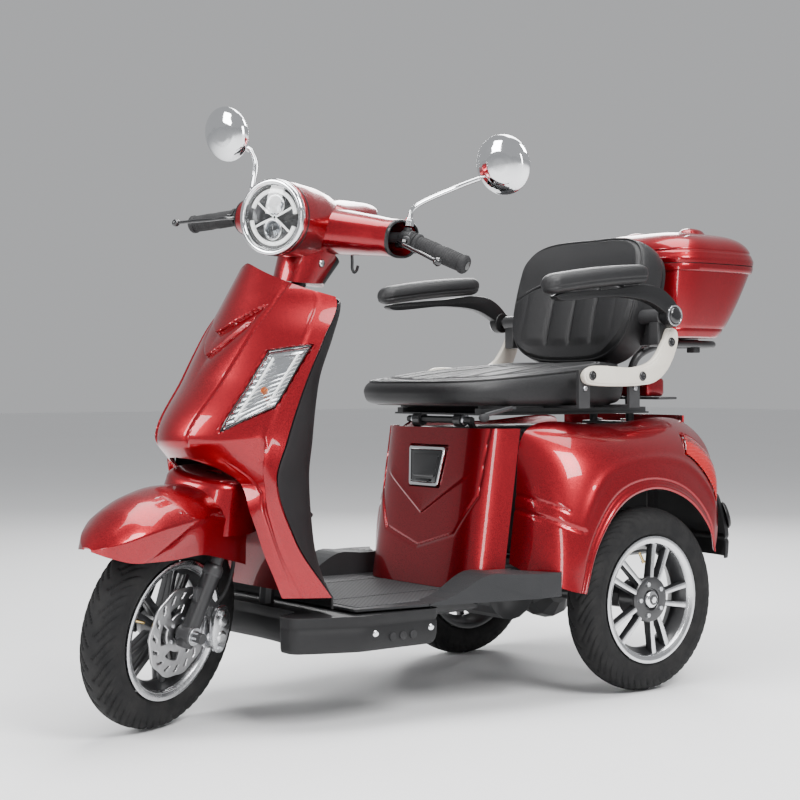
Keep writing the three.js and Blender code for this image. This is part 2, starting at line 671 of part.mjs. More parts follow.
const kneeDepth = [[905, 372], [862, 366], [783, 338], [690, 304], [575, 294], [499, 291], [264, 291]];

function legShield() {
  return sheet((u, v) => {
    const t = 2 * u - 1;
    const z = mix(mix(884, 848, Math.abs(t) ** 2), SHIELD_FOOT - 24, v);
    const half = between(shieldHalf, z) - PANEL - 3;
    const edge = between(shieldEdge, z) + 9;
    return V(t * half, fromFront(mix(between(kneeDepth, z), edge, Math.abs(t) ** 5)), z);
  }, -3.5, 12, 7);
}

const BELLY_FRONT = 168;
const WHEEL_POCKET = 230;
const KINK = 492;

function bellyCover() {
  const half = [
    [0, fromFront(WHEEL_POCKET)], [150, fromFront(WHEEL_POCKET)], [172, fromFront(BELLY_FRONT)],
    [222, fromFront(BELLY_FRONT + 2)], [252, fromFront(230)], [FLOOR_HALF - 2, fromFront(300)],
    [FLOOR_HALF, fromFront(KINK)], [205, fromFront(KINK + 12)], [0, fromFront(KINK + 12)],
  ];
  const whole = half.concat(half.slice(1, -1).map(([x, y]) => [-x, y]).reverse());
  const tub = planCut(whole, GROUND_CLEARANCE, FLOOR_Z - 5);
  const lip = 5;
  const hollow = whole.map(([x, y]) => {
    const mid = fromFront(350);
    return [x * 0.975, y < mid ? y + lip : y + 2 * lip];
  });
  return tub.subtract(planCut(hollow, GROUND_CLEARANCE + 4, FLOOR_Z));
}

// ---------------------------------------------------------------- floor
const WING_TOP = 288;
const WING_IN = 224;
const WING_OUT = 338;
const PEDESTAL_Y = 705;
const FLOOR_END = fromRear(-230);

function floorPan() {
  const plate = planCut([
    [-252, fromFront(DECK_FRONT)], [252, fromFront(DECK_FRONT)], [FLOOR_HALF, fromFront(KINK)],
    [WING_OUT, fromRear(-330)], [WING_OUT, FLOOR_END], [-WING_OUT, FLOOR_END], [-WING_OUT, fromRear(-330)],
    [-FLOOR_HALF, fromFront(KINK)],
  ], FLOOR_Z, FLOOR_Z + 5);
  const slope = smoothOutline([
    [fromFront(KINK - 24), FLOOR_Z + 4], [fromFront(KINK + 30), FLOOR_Z + 16], [fromFront(KINK + 84), WING_TOP - 8],
    [fromFront(KINK + 122), WING_TOP + 4], [fromFront(KINK + 170), WING_TOP],
  ], 10);
  const profile = slope.concat([[FLOOR_END, WING_TOP - 4], [FLOOR_END, FLOOR_Z + 1], [slope[0][0], FLOOR_Z + 1]]);
  const flare = [
    [WING_IN, fromFront(KINK - 40)], [FLOOR_HALF, fromFront(KINK - 40)], [FLOOR_HALF, fromFront(KINK)],
    [WING_OUT, fromRear(-330)], [WING_OUT, FLOOR_END + 5], [WING_IN, FLOOR_END + 5],
  ];
  const across = (points, side) => points.map(([x, y]) => [side * x, y]);
  const ordered = (points, side) => (side > 0 ? across(points, side) : across(points, side).reverse());
  const wing = (side) => sideCut(profile, side * WING_IN, side * WING_OUT)
    .intersect(planCut(ordered(flare, side), FLOOR_Z, WING_TOP + 20));
  const hollow = (side) => sideCut([
    [fromFront(KINK + 60), FLOOR_Z - 4], [fromFront(KINK + 100), WING_TOP - 10], [FLOOR_END + 9, WING_TOP - 12],
    [FLOOR_END + 9, FLOOR_Z - 4],
  ], side * (WING_IN + 6), side * (FLOOR_HALF - 2));
  const behind = [
    [190, fromRear(-356)], [240, fromRear(-334)], [268, fromRear(-318)], [305, fromRear(-296)],
    [WING_OUT + 8, fromRear(-266)], [WING_OUT + 8, FLOOR_END + 20], [190, FLOOR_END + 20],
  ];
  const tail = (side) => planCut(ordered(behind, side), FLOOR_Z - 20, WING_TOP + 40);
  const well = block(-196, 196, fromFront(PEDESTAL_Y - 26), FLOOR_END + 20, FLOOR_Z - 10, FLOOR_Z + 20);
  return join(plate, both(wing)).subtract(both(hollow)).subtract(both(tail)).subtract(well);
}

// ---------------------------------------------------------------- pedestal and rear bodywork
const FLAP_Z = 501;
const FLAP_HEIGHT = 84;

function flapOutline(gap) {
  const [top, low] = [FLAP_Z + FLAP_HEIGHT / 2 - gap, FLAP_Z - FLAP_HEIGHT / 2 + gap];
  return [[-62 + gap, top], [62 - gap, top], [48 - gap, low], [-48 + gap, low]];
}

// t from -1 to 1 around the front of the seat pedestal.
function pedestalPoint(t, z) {
  const lean = (z - WING_TOP) * 0.15;
  return V(t * PEDESTAL_HALF, fromFront(mix(PEDESTAL_Y - 53, PEDESTAL_Y + 25, t ** 6) + lean), z);
}

function pedestalCover() {
  const skin = sheet((u, v) => pedestalPoint(2 * u - 1, mix(BODY_TOP, FLOOR_Z + 6, v)), PANEL, 14, 3);
  const window = frontCut(flapOutline(0), fromFront(560), fromFront(800));
  return skin.subtract(window);
}

const FLAP_Y = pedestalPoint(0, FLAP_Z).y;

function chargeFlap() {
  const low = FLAP_Z - FLAP_HEIGHT / 2;
  const plate = frontCut(flapOutline(FIT), FLAP_Y - 8, FLAP_Y - 1);
  const pull = block(-20, 20, FLAP_Y - 16, FLAP_Y - 7, low + 4, low + 10);
  return join(plate, pull);
}

const LIP_X = REAR_WHEEL_X + TYRE_WIDTH / 2 + 1;
const BODY_SIDE = PEDESTAL_HALF + 1;

function curveOf(points) {
  return new THREE.CatmullRomCurve3(points, false, 'centripetal');
}

const lipCurve = curveOf([
  V(LIP_X, fromRear(-212), AXLE_Z + 31), V(LIP_X + 3, fromRear(-178), AXLE_Z + 132),
  V(LIP_X + 4, fromRear(-100), AXLE_Z + 222), V(LIP_X + 5, fromRear(0), AXLE_Z + 248),
  V(LIP_X + 4, fromRear(110), AXLE_Z + 215), V(LIP_X, fromRear(184), AXLE_Z + 146),
  V(LIP_X - 4, fromRear(206), AXLE_Z + 93),
]);
const bulgeCurve = curveOf([
  V(LIP_X, fromRear(-282), AXLE_Z + 38), V(LIP_X + 4, fromRear(-272), AXLE_Z + 190),
  V(LIP_X - 2, fromRear(-190), AXLE_Z + 330), V(LIP_X - 4, fromRear(-40), AXLE_Z + 372),
  V(LIP_X - 8, fromRear(120), AXLE_Z + 355), V(LIP_X - 2, fromRear(220), AXLE_Z + 250),
  V(LIP_X - 4, fromRear(224), AXLE_Z + 140),
]);
const shoulderCurve = curveOf([
  V(BODY_SIDE + 1, fromRear(-314), WING_TOP + 8), V(BODY_SIDE + 1, fromRear(-294), 440),
  V(BODY_SIDE, fromRear(-266), BODY_TOP), V(BODY_SIDE - 2, fromRear(-20), BODY_TOP + 4),
  V(BODY_SIDE - 8, fromRear(240), BODY_TOP + 12), V(BODY_SIDE + 60, fromRear(262), AXLE_Z + 330),
  V(LIP_X - 30, fromRear(246), AXLE_Z + 200),
]);

// u runs from the wheel-arch lip over the flare to the body's shoulder, v from the front foot to the tail.
function fenderSkin(u, v) {
  const [lip, bulge, top] = [lipCurve, bulgeCurve, shoulderCurve].map((curve) => curve.getPoint(v));
  return lip.multiplyScalar((1 - u) ** 2).addScaledVector(bulge, 2 * u * (1 - u)).addScaledVector(top, u * u);
}

function tailLamp() {
  return sheet((u, v) => fenderSkin(mix(mix(0.5, 0.72, u), mix(0.5, 0.94, u), v), mix(0.66, 0.88, v)), -6, 3, 5, -LENS_LIFT);
}

const TAIL_Y = 300;

function rearPanel() {
  return sheet((u, v) => {
    const t = 2 * u - 1;
    const z = mix(BODY_TOP + 22, AXLE_Z + 300, v);
    return V(t * (BODY_SIDE - 12), fromRear(mix(TAIL_Y + 6 * v, 262, Math.abs(t) ** 6)), z);
  }, -PANEL, 12, 3);
}

const BUMPER_HALF = LIP_X - 12;

function rearBumper() {
  const reach = [[0, 46], [0.35, 80], [0.75, 100], [1, 88]];
  return sheet((u, v) => {
    const angle = mix(-0.46, 0.46, u) * Math.PI;
    const z = mix(AXLE_Z + 292, AXLE_Z + 74, v);
    const soft = (value) => Math.sign(value) * Math.abs(value) ** 0.5;
    const half = BUMPER_HALF - 55 * (1 - v) ** 2;
    return V(half * soft(Math.sin(angle)), fromRear(224 + between(reach, v) * soft(Math.cos(angle))), z);
  }, -PANEL, 14, 4);
}

// ---------------------------------------------------------------- frame, power and rear axle
const SWING_Y = fromRear(-320);
const SWING_Z = 238;
const SHOCK_X = 192;
const SHOCK_TOP_Z = 516;
const TOP_RAIL_Z = BODY_TOP - TUBE_R - 2;
const TILT_Y = fromRear(-328);
const TILT_Z = BODY_TOP + 17;
const RACK_Y = fromRear(226);
const DOWN_FOOT = 254;

function mainFrame() {
  const headFrom = CROWN_S + 48;
  const headTo = CROWN_S + 236;
  const headTube = ring(onHead(headFrom), onHead(headTo), HEAD_TUBE_R, STEERER_R + FIT, 14);
  const down = bent([onHead(headFrom + 70, -HEAD_TUBE_R + 4), V(0, fromFront(236), 545), V(0, fromFront(263), 484),
    V(0, fromFront(263), 330), V(0, fromFront(DOWN_FOOT), RAIL_Z)], 16, 12);
  const rail = (side) => {
    const x = side * FRAME_HALF;
    const path = [V(x, fromFront(DOWN_FOOT), RAIL_Z), V(x, fromFront(692), RAIL_Z), V(x, fromRear(-290), UPPER_RAIL_Z),
      V(x, fromRear(250), UPPER_RAIL_Z)];
    return join(rod(path[0], path[1], TUBE_R), rod(path[1], path[2], TUBE_R), rod(path[2], path[3], TUBE_R),
      solid(new THREE.SphereGeometry(TUBE_R, 8, 6).translate(path[1].x, path[1].y, path[1].z)),
      solid(new THREE.SphereGeometry(TUBE_R, 8, 6).translate(path[2].x, path[2].y, path[2].z)));
  };
  const post = (side, y, z0, z1) => rod(V(side * FRAME_HALF, y, z0), V(side * FRAME_HALF, y, z1), TUBE_R);
  const cross = (y, z, half = FRAME_HALF, r = TUBE_R) => rod(V(-half, y, z), V(half, y, z), r);
  const [seatFront, seatRear] = [fromRear(-300), fromRear(210)];
  const sides = both((side) => join(
    rail(side),
    post(side, seatFront, UPPER_RAIL_Z, TOP_RAIL_Z),
    post(side, seatRear, UPPER_RAIL_Z, TOP_RAIL_Z),
    rod(V(side * FRAME_HALF, seatFront, TOP_RAIL_Z), V(side * FRAME_HALF, RACK_Y, TOP_RAIL_Z), TUBE_R),
    rod(V(side * FRAME_HALF, REAR_AXLE_Y, TOP_RAIL_Z), V(side * FRAME_HALF, REAR_AXLE_Y, SHOCK_TOP_Z + 14), 11),
    rod(V(side * FRAME_HALF, SWING_Y, SWING_Z), V(side * FRAME_HALF, SWING_Y + 8, UPPER_RAIL_Z - 8), 10),
    rod(V(side * 100, seatFront, TOP_RAIL_Z), V(side * 100, TILT_Y, TILT_Z), 8),
  ));
  const bore = rod(onHead(headFrom - 2), onHead(headTo + 2), STEERER_R + FIT, 14);
  return join(headTube, down, sides, cross(fromFront(DOWN_FOOT), RAIL_Z), cross(seatFront, UPPER_RAIL_Z),
    cross(fromRear(-74), UPPER_RAIL_Z), cross(fromRear(250), UPPER_RAIL_Z), cross(seatFront, TOP_RAIL_Z),
    cross(RACK_Y, TOP_RAIL_Z), cross(REAR_AXLE_Y, SHOCK_TOP_Z + 14, SHOCK_X + 10),
    cross(SWING_Y, SWING_Z, FRAME_HALF, 11), cross(TILT_Y, TILT_Z, 112, 8)).subtract(bore);
}

function rearAxle() {
  const inner = REAR_WHEEL_X + REAR_HUB_IN - 3;
  const housing = rod(V(-inner, REAR_AXLE_Y, AXLE_Z), V(inner, REAR_AXLE_Y, AXLE_Z), 28, 10);
  const shaft = rod(V(-REAR_WHEEL_X - 42, REAR_AXLE_Y, AXLE_Z), V(REAR_WHEEL_X + 42, REAR_AXLE_Y, AXLE_Z),
    HUB_BORE - FIT, 14);
  const diff = turned([[0, 0], [40, 0], [74, 22], [80, 50], [74, 78], [40, 100], [0, 100]],
    V(-50, REAR_AXLE_Y, AXLE_Z), V(50, REAR_AXLE_Y, AXLE_Z), 12);
  const arm = (side) => {
    const eye = ring(V(side * 100, SWING_Y, SWING_Z), V(side * 124, SWING_Y, SWING_Z), 22, 13, 10);
    const beam = rod(V(side * 112, SWING_Y + 18, SWING_Z - 2), V(side * 112, REAR_AXLE_Y, AXLE_Z), 14);
    const seat = rod(V(side * SHOCK_X, REAR_AXLE_Y, AXLE_Z + 20), V(side * SHOCK_X, REAR_AXLE_Y, AXLE_Z + 40), 24, 8);
    return join(eye, beam, seat);
  };
  return join(housing, shaft, diff, both(arm));
}

function driveMotor() {
  const y = REAR_AXLE_Y - 84 - 76;
  const can = rod(V(-66, y, AXLE_Z + 8), V(58, y, AXLE_Z + 8), 72, 18);
  const shaftEnd = rod(V(-80, y, AXLE_Z + 8), V(-60, y, AXLE_Z + 8), 30, 12);
  return join(can, shaftEnd);
}

function shockShape() {
  const [z0, z1] = [AXLE_Z + 40.5, SHOCK_TOP_Z - 8];
  const pairs = [[0, 0], [22, 0], [22, 8]];
  const coils = 5;
  const pitch = (z1 - z0 - 16) / coils;
  for (let k = 0; k < coils; k += 1) {
    pairs.push([17, 8 + pitch * k + 4], [24, 8 + pitch * (k + 0.5)], [17, 8 + pitch * (k + 1) - 4]);
  }
  pairs.push([22, z1 - z0 - 8], [22, z1 - z0], [0, z1 - z0]);
  return turned(pairs, V(SHOCK_X, REAR_AXLE_Y, z0), V(SHOCK_X, REAR_AXLE_Y, z1), 8);
}

function batteryPack() {
  const y0 = fromRear(-276);
  const bottom = UPPER_RAIL_Z + TUBE_R + SHAPE_GAP;
  const body = block(-130, 130, y0, y0 + 250, bottom, bottom + 220);
  return join(body, block(-60, 60, y0 + 90, y0 + 130, bottom + 219, bottom + 238));
}

function controllerShape() {
  let box = block(-70, 70, fromRear(40), fromRear(160), UPPER_RAIL_Z + 60, UPPER_RAIL_Z + 110);
  for (let k = 0; k < 6; k += 1) {
    const x = -60 + 24 * k;
    box = box.add(block(x - 3, x + 3, fromRear(44), fromRear(156), UPPER_RAIL_Z + 109, UPPER_RAIL_Z + 122));
  }
  return box;
}

// ---------------------------------------------------------------- seat
const SEAT_Y0 = fromRear(-430);
const PLATE_Z = TILT_Z + 14;

function seatBase() {
  const eyes = both((side) => ring(V(side * 60, TILT_Y, TILT_Z), V(side * 84, TILT_Y, TILT_Z), 15, 9, 12));
  const [y0, y1] = [TILT_Y - 6, fromRear(190)];
  const plate = block(-158, 158, y0, y1, PLATE_Z - 3, PLATE_Z + 1)
    .subtract(block(-110, 110, fromRear(-250), fromRear(120), PLATE_Z - 10, PLATE_Z + 10));
  const rails = both((side) => block(side * 128, side * 148, y0, y1, PLATE_Z, PLATE_Z + 12));
  return join(plate, eyes, rails);
}

const CARRIAGE_Z = PLATE_Z + 12 + SHAPE_GAP;

function seatCarriage() {
  const z1 = SEAT_BOTTOM - FIT;
  const strap = (y) => block(-266, 266, y, y + 34, CARRIAGE_Z, z1);
  const runner = both((side) => block(side * 122, side * 154, fromRear(-320), fromRear(130), CARRIAGE_Z, z1));
  const cheek = (y) => both((side) => block(side * 258, side * 266, y, y + 34, CARRIAGE_Z, SEAT_TOP - 8));
  const lever = bent([V(230, fromRear(-318), CARRIAGE_Z + 2), V(244, fromRear(-366), CARRIAGE_Z - 4),
    V(250, fromRear(-412), CARRIAGE_Z - 12)], 5, 8, 8);
  const leverRoot = block(150, 236, fromRear(-322), fromRear(-310), CARRIAGE_Z, CARRIAGE_Z + 5);
  return join(strap(fromRear(-150)), strap(fromRear(10)), runner, cheek(fromRear(-150)), cheek(fromRear(10)),
    lever, leverRoot);
}

// A soft block: rings of rounded plan from z0 to z1, pinched by edge at top and bottom.
function cushion() {
  const middle = SEAT_Y0 + SEAT_LENGTH / 2;
  const pinch = [[0, 0.9], [0.14, 0.985], [0.5, 1], [0.82, 0.985], [0.95, 0.93], [1, 0.84]];
  return loft((u, v) => {
    const scale = between(pinch, v);
    const [a, b] = squircle(u, SEAT_HALF * scale, (SEAT_LENGTH / 2) * scale, 4.5);
    const bow = 22 * Math.cos((a / SEAT_HALF) * Math.PI / 2) * Number(b < 0) * (-b / SEAT_LENGTH) * 2;
    const rise = v * SEAT_RISE * (b / SEAT_LENGTH);
    return V(a, middle + b - bow, mix(SEAT_BOTTOM, SEAT_TOP - 6, v) + rise);
  }, 22, 5);
}

const BACK_Z0 = 762;
const BACK_HEIGHT = 292;
const BACK_Y = fromRear(66);
const BACK_THICK = 84;
const backUp = V(0, Math.sin(rad(BACK_LEAN)), Math.cos(rad(BACK_LEAN)));
const backOut = V(0, Math.cos(rad(BACK_LEAN)), -Math.sin(rad(BACK_LEAN)));

// A point on the backrest: x across, h up the leaning plane, d behind its front face.
function onBack(x, h, d) {
  return V(x, BACK_Y, BACK_Z0).addScaledVector(backUp, h).addScaledVector(backOut, d);
}

function backShape(d0, d1, shrink, round = 22) {
  return loft((u, v) => {
    const edge = 1 - 0.07 * (1 - Math.sin(Math.PI * mix(0.15, 0.85, v)));
    const [a, b] = squircle(u, (BACK_HALF - shrink) * edge, (BACK_HEIGHT / 2 - shrink) * edge, 4);
    const wrap = 26 * (a / BACK_HALF) ** 2 * (1 - v);
    return onBack(a, BACK_HEIGHT / 2 + b, mix(d0, d1, v) - wrap);
  }, round, 4);
}

function backrestShell() {
  const shell = backShape(BACK_THICK - 12, BACK_THICK + 10, 6, 22);
  const lug = (side) => {
    const wing = rod(V(side * 170, PIVOT.y, PIVOT.z), V(side * 268, PIVOT.y, PIVOT.z), 17, 8);
    const pin = rod(V(side * 260, PIVOT.y, PIVOT.z), V(side * 309, PIVOT.y, PIVOT.z), 9, 10);
    const foot = block(side * 232, side * 266, PIVOT.y - 10, PIVOT.y + 34, PIVOT.z - 66, PIVOT.z - 8);
    const web = block(side * 150, side * 266, PIVOT.y + 12, PIVOT.y + 34, PIVOT.z - 66, PIVOT.z - 8);
    return join(wing, pin, foot, web);
  };
  return join(shell, both(lug)).subtract(backShape(-60, BACK_THICK - 12 + FIT, -6, 22));
}

// ---------------------------------------------------------------- armrests and side brackets
const PIVOT = V(0, fromRear(117), 842);

function sideBracket() {
  const lower = SEAT_TOP - 34;
  const points = smoothOutline([
    [fromRear(-142), lower], [fromRear(-146), lower + 18], [fromRear(-126), lower + 33], [fromRear(20), lower + 34],
    [fromRear(76), lower + 52], [fromRear(112), lower + 96], [fromRear(128), lower + 124],
    [fromRear(152), lower + 120], [fromRear(158), lower + 96], [fromRear(128), lower + 34], [fromRear(86), lower + 2],
    [fromRear(30), lower - 8], [fromRear(-128), lower - 6], [fromRear(-142), lower],
  ], 30).slice(0, -1);
  return sideCut(points, 266.5, 280);
}

function armrestArm() {
  const hub = ring(V(ARM_X - 7, PIVOT.y, PIVOT.z), V(ARM_X + 18, PIVOT.y, PIVOT.z), 25, 9 + SHAPE_GAP, 18);
  const blade = sideCut(smoothOutline([
    [PIVOT.y + 12, PIVOT.z - 12], [PIVOT.y - 34, PIVOT.z + 20], [PIVOT.y - 84, PIVOT.z + 42],
    [PIVOT.y - 190, PIVOT.z + 46], [PIVOT.y - 372, PIVOT.z + 36], [PIVOT.y - 376, PIVOT.z + 48],
    [PIVOT.y - 190, PIVOT.z + 59], [PIVOT.y - 92, PIVOT.z + 68], [PIVOT.y - 40, PIVOT.z + 60],
    [PIVOT.y + 14, PIVOT.z + 18], [PIVOT.y + 12, PIVOT.z - 12],
  ], 26).slice(0, -1), ARM_X - 5, ARM_X + 16);
  const bore = rod(V(ARM_X - 30, PIVOT.y, PIVOT.z), V(ARM_X + 40, PIVOT.y, PIVOT.z), 9 + SHAPE_GAP, 18);
  return join(hub, blade).subtract(bore);
}

function armPad() {
  return loft((u, v) => {
    const y = mix(PIVOT.y - 396, PIVOT.y - 82, v);
    const end = Math.sin(Math.PI * mix(0.12, 0.88, v)) ** 0.35;
    const [a, b] = squircle(u, 31 * end, 22 * end, 3);
    return V(ARM_X + 2 + a, y, PIVOT.z + mix(70, 92, v) + b);
  }, 14, 6);
}

// ---------------------------------------------------------------- rear box
const BOX_Y0 = fromRear(256);
const RACK_Z = BOX_FLOOR_Z - 13;

function boxRack() {
  const hoop = bent([V(-110, BOX_Y0 - 16, RACK_Z), V(-112, fromRear(420), RACK_Z), V(-98, fromRear(488), RACK_Z),
    V(0, fromRear(502), RACK_Z), V(98, fromRear(488), RACK_Z), V(112, fromRear(420), RACK_Z),
    V(110, BOX_Y0 - 16, RACK_Z)], 9, 14, 6);
  const mast = (side) => bent([V(side * 62, RACK_Y, TOP_RAIL_Z + TUBE_R + 6), V(side * 62, RACK_Y, 700),
    V(side * 72, RACK_Y + 16, 752), V(side * 88, BOX_Y0 + 60, RACK_Z - 1),
    V(side * 88, BOX_Y0 + 90, RACK_Z - 1)], 10, 9, 6);
  const cross = (y) => rod(V(-112, y, RACK_Z), V(112, y, RACK_Z), 8);
  const foot = block(-90, 90, RACK_Y - 14, RACK_Y + 14, TOP_RAIL_Z + TUBE_R + SHAPE_GAP, TOP_RAIL_Z + TUBE_R + 8);
  const plate = block(-100, 100, BOX_Y0 + 60, fromRear(440), RACK_Z + 6, RACK_Z + 12);
  const tray = block(-BODY_SIDE + 30, BODY_SIDE - 30, RACK_Y - 30, BOX_Y0 + 6, 648, 654);
  return join(hoop, both(mast), cross(BOX_Y0 - 10), cross(fromRear(360)), foot, plate, tray);
}

// Rings of the box: v from its floor to its rim.
function boxRing(u, v, shrink) {
  const [a, b] = squircle(u, mix(160, BOX_HALF, v ** 0.7) - shrink, mix(98, BOX_LENGTH / 2, v ** 0.7) - shrink, 4.5);
  return V(a, mix(BOX_Y0 + 110, BOX_Y0 + BOX_LENGTH / 2, v ** 0.7) + b, mix(BOX_FLOOR_Z, BOX_RIM_Z, v));
}

function topBoxBody() {
  const outer = loft((u, v) => boxRing(u, v, 0), 20, 3);
  const inner = loft((u, v) => boxRing(u, v, PANEL).add(V(0, 0, mix(4, 3, v))), 20, 3);
  return outer.subtract(inner);
}

function lidRing(u, v, shrink) {
  const angle = v * Math.PI / 2;
  const scale = Math.cos(angle) ** 0.5;
  const [a, b] = squircle(u, (BOX_HALF + 4) * scale - shrink, (BOX_LENGTH / 2 + 4) * scale - shrink, 4.2);
  return V(a, BOX_Y0 + BOX_LENGTH / 2 + b, BOX_RIM_Z + 2 + (LID_HEIGHT - shrink) * Math.sin(angle) ** 0.8);
}

function topBoxLid() {
  const top = 0.93;
  const dome = (shrink, from) => loft((u, v) => lidRing(u, v * top, shrink).add(V(0, 0, v === 0 ? from : 0)), 20, 5);
  const knob = (side) => loft((u, v) => {
    const [a, b] = squircle(u, 22 * (1 - 0.4 * v), 34 * (1 - 0.4 * v), 2);
    return V(side * 92 + a, BOX_Y0 + BOX_LENGTH / 2 + b, BOX_RIM_Z + LID_HEIGHT - 14 + 26 * v);
  }, 12, 2);
  const latch = block(-26, 26, BOX_Y0 + BOX_LENGTH + 1, BOX_Y0 + BOX_LENGTH + 14, BOX_RIM_Z - 26, BOX_RIM_Z + 22);
  return join(dome(0, 0), both(knob), latch).subtract(dome(PANEL, -3));
}

// ---------------------------------------------------------------- assembly
add('main_frame', mainFrame(), 'steel');
add('floor_pan', floorPan(), 'grey');
add('belly_cover', bellyCover(), 'black');
add('front_shield', join(frontShield(), wheelWall()), 'red');
add('leg_shield', legShield(), 'black');
addPair('turn_signal', turnSignal(), 'lens');
add('pedestal_cover', pedestalCover(), 'red');
add('charge_flap', chargeFlap(), 'chrome');
addPair('side_panel', sheet(fenderSkin, PANEL, 7, 14), 'red');
add('rear_panel', rearPanel(), 'red');
addPair('tail_lamp', tailLamp(), 'amber');
add('rear_bumper', rearBumper(), 'black');
add('battery_pack', batteryPack(), 'black');
add('controller', controllerShape(), 'alloy');
add('rear_axle', rearAxle(), 'steel');
add('drive_motor', driveMotor(), 'steel');
addPair('shock', shockShape(), 'steel');
rearWheel(1);
rearWheel(-1);

frontWheel();
add('fork_crown', forkCrown(), 'steel', steeringShift);
add('fork_sliders', forkSliders(), 'steel', steeringShift);
add('front_fender', frontFender(), 'red', steeringShift);
add('brake_caliper', caliperShape(), 'alloy', steeringShift);
add('brake_hose', brakeHose(), 'rubber', steeringShift);
add('handlebar', handlebarShape(), 'steel', steeringShift);
add('handlebar_cover', coverShape(), 'red', steeringShift);
add('headlight_ring', headlightRing(), 'chrome', steeringShift);
add('headlight_lens', headlightLens(), 'lens', steeringShift);
add('key_switch', keySwitch(), 'chrome', steeringShift);
add('grip_left', gripShape(1), 'rubber', steeringShift);
add('throttle_grip', gripShape(-1), 'rubber', steeringShift);
addPair('brake_lever', leverShape(), 'black', steeringShift);
addPair('mirror_stem', mirrorStem(), 'chrome', steeringShift);
addPair('mirror_head', mirrorHead(), 'chrome', steeringShift);

add('seat_base', seatBase(), 'steel');
add('seat_carriage', seatCarriage(), 'steel');
add('seat_cushion', cushion(), 'leather');
add('backrest_pad', backShape(0, BACK_THICK - 13, 0), 'leather');
add('backrest_shell', backrestShell(), 'black');
addPair('side_bracket', sideBracket(), 'white');
addPair('armrest_arm', armrestArm(), 'black');
addPair('arm_pad', armPad(), 'leather');
add('box_rack', boxRack(), 'steel');
add('top_box_body', topBoxBody(), 'red');
add('top_box_lid', topBoxLid(), 'red');

export default root;
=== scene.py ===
import math

import bmesh
import bpy
import numpy as np
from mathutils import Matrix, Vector


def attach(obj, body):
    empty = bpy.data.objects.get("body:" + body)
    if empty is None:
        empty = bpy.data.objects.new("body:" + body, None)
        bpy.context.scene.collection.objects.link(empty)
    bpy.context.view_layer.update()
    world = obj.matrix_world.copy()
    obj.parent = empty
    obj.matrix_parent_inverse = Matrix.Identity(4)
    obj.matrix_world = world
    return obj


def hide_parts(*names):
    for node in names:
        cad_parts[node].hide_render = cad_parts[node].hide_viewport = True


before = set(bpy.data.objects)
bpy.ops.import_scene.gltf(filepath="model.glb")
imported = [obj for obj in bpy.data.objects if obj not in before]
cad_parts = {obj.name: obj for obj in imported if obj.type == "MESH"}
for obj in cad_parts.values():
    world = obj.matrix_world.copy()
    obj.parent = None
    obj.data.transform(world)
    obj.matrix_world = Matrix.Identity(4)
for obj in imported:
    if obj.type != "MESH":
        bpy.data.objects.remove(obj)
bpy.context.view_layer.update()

# ---------- camera
CAMERA_AT = (2.7524, -2.2634, 0.6893)
CAMERA_TO = (0.00024, -0.0994, 0.6498)
LENS = 70.84


def place_camera():
    """The camera stands ahead and to the left of the vehicle, at seat height, and looks at its middle."""
    data = bpy.data.cameras.new("camera")
    data.lens = LENS
    data.sensor_width = 36
    camera = bpy.data.objects.new("camera", data)
    bpy.context.scene.collection.objects.link(camera)
    camera.location = CAMERA_AT
    look = Vector(CAMERA_TO) - Vector(CAMERA_AT)
    camera.rotation_euler = look.to_track_quat("-Z", "Y").to_euler()
    bpy.context.scene.camera = camera


place_camera()


# ---------- numbers shared with the CAD model, in millimetres
WHEELBASE = 1054
FRONT_Y = -710
REAR_Y = FRONT_Y + WHEELBASE
AXLE_Z = 205
REAR_X = 309
TYRE_HALF = 42
RIM_HALF = 37
RAKE = math.radians(25)
TURN = math.radians(23.2)
LIFT = 0.66
HEAD = np.array([0.0, math.sin(RAKE), math.cos(RAKE)])
AHEAD = np.array([0.0, -math.cos(RAKE), math.sin(RAKE)])
HEAD_BASE = np.array([0.0, FRONT_Y + 15.0, AXLE_Z])
FORK_HALF = 70
CROWN_S = 312
BAR_Y = FRONT_Y + 408
BAR_Z = AXLE_Z + 781
WING_TOP = 288
BODY_TOP = 588
PEDESTAL_HALF = 216
BODY_SIDE = PEDESTAL_HALF + 1
LIP_X = REAR_X + TYRE_HALF + 1
SEAT_HALF = 230
SEAT_BOTTOM = 638
SEAT_TOP = 724
SEAT_DEPTH = SEAT_TOP - 6 - SEAT_BOTTOM
SEAT_LENGTH = 535
SEAT_RISE = 50
SEAT_Y0 = REAR_Y - 430
BACK_HALF = 212
BACK_HEIGHT = 292
BACK_LEAN = math.radians(16)
BACK_Y = REAR_Y + 66
BACK_Z0 = 762
BACK_CURL = 26
ARM_X = 288
PIVOT_Y = REAR_Y + 117
PIVOT_Z = 842
BOX_HALF = 198
BOX_LENGTH = 322
BOX_Y0 = REAR_Y + 256
BOX_FLOOR_Z = 798
BOX_RIM_Z = 978
LID_HEIGHT = 84
RACK_Z = BOX_FLOOR_Z - 13
PANEL = 4


def ahead(d):
    return FRONT_Y + d


def aft(d):
    return REAR_Y + d


def fore(d, h):
    """A place seen from the side: d behind the front axle and h above it."""
    return ahead(d), AXLE_Z + h


def spot(x, d, h):
    return x, ahead(d), AXLE_Z + h


def hind(x, d, h):
    """A place x to the left, d behind the rear axle and h above it."""
    return x, aft(d), AXLE_Z + h


def on_head(s, a=0.0, x=0.0):
    """The point s along the steering axis, a ahead of it and x to the left."""
    return HEAD_BASE + HEAD * s + AHEAD * a + np.array([x, 0.0, 0.0])


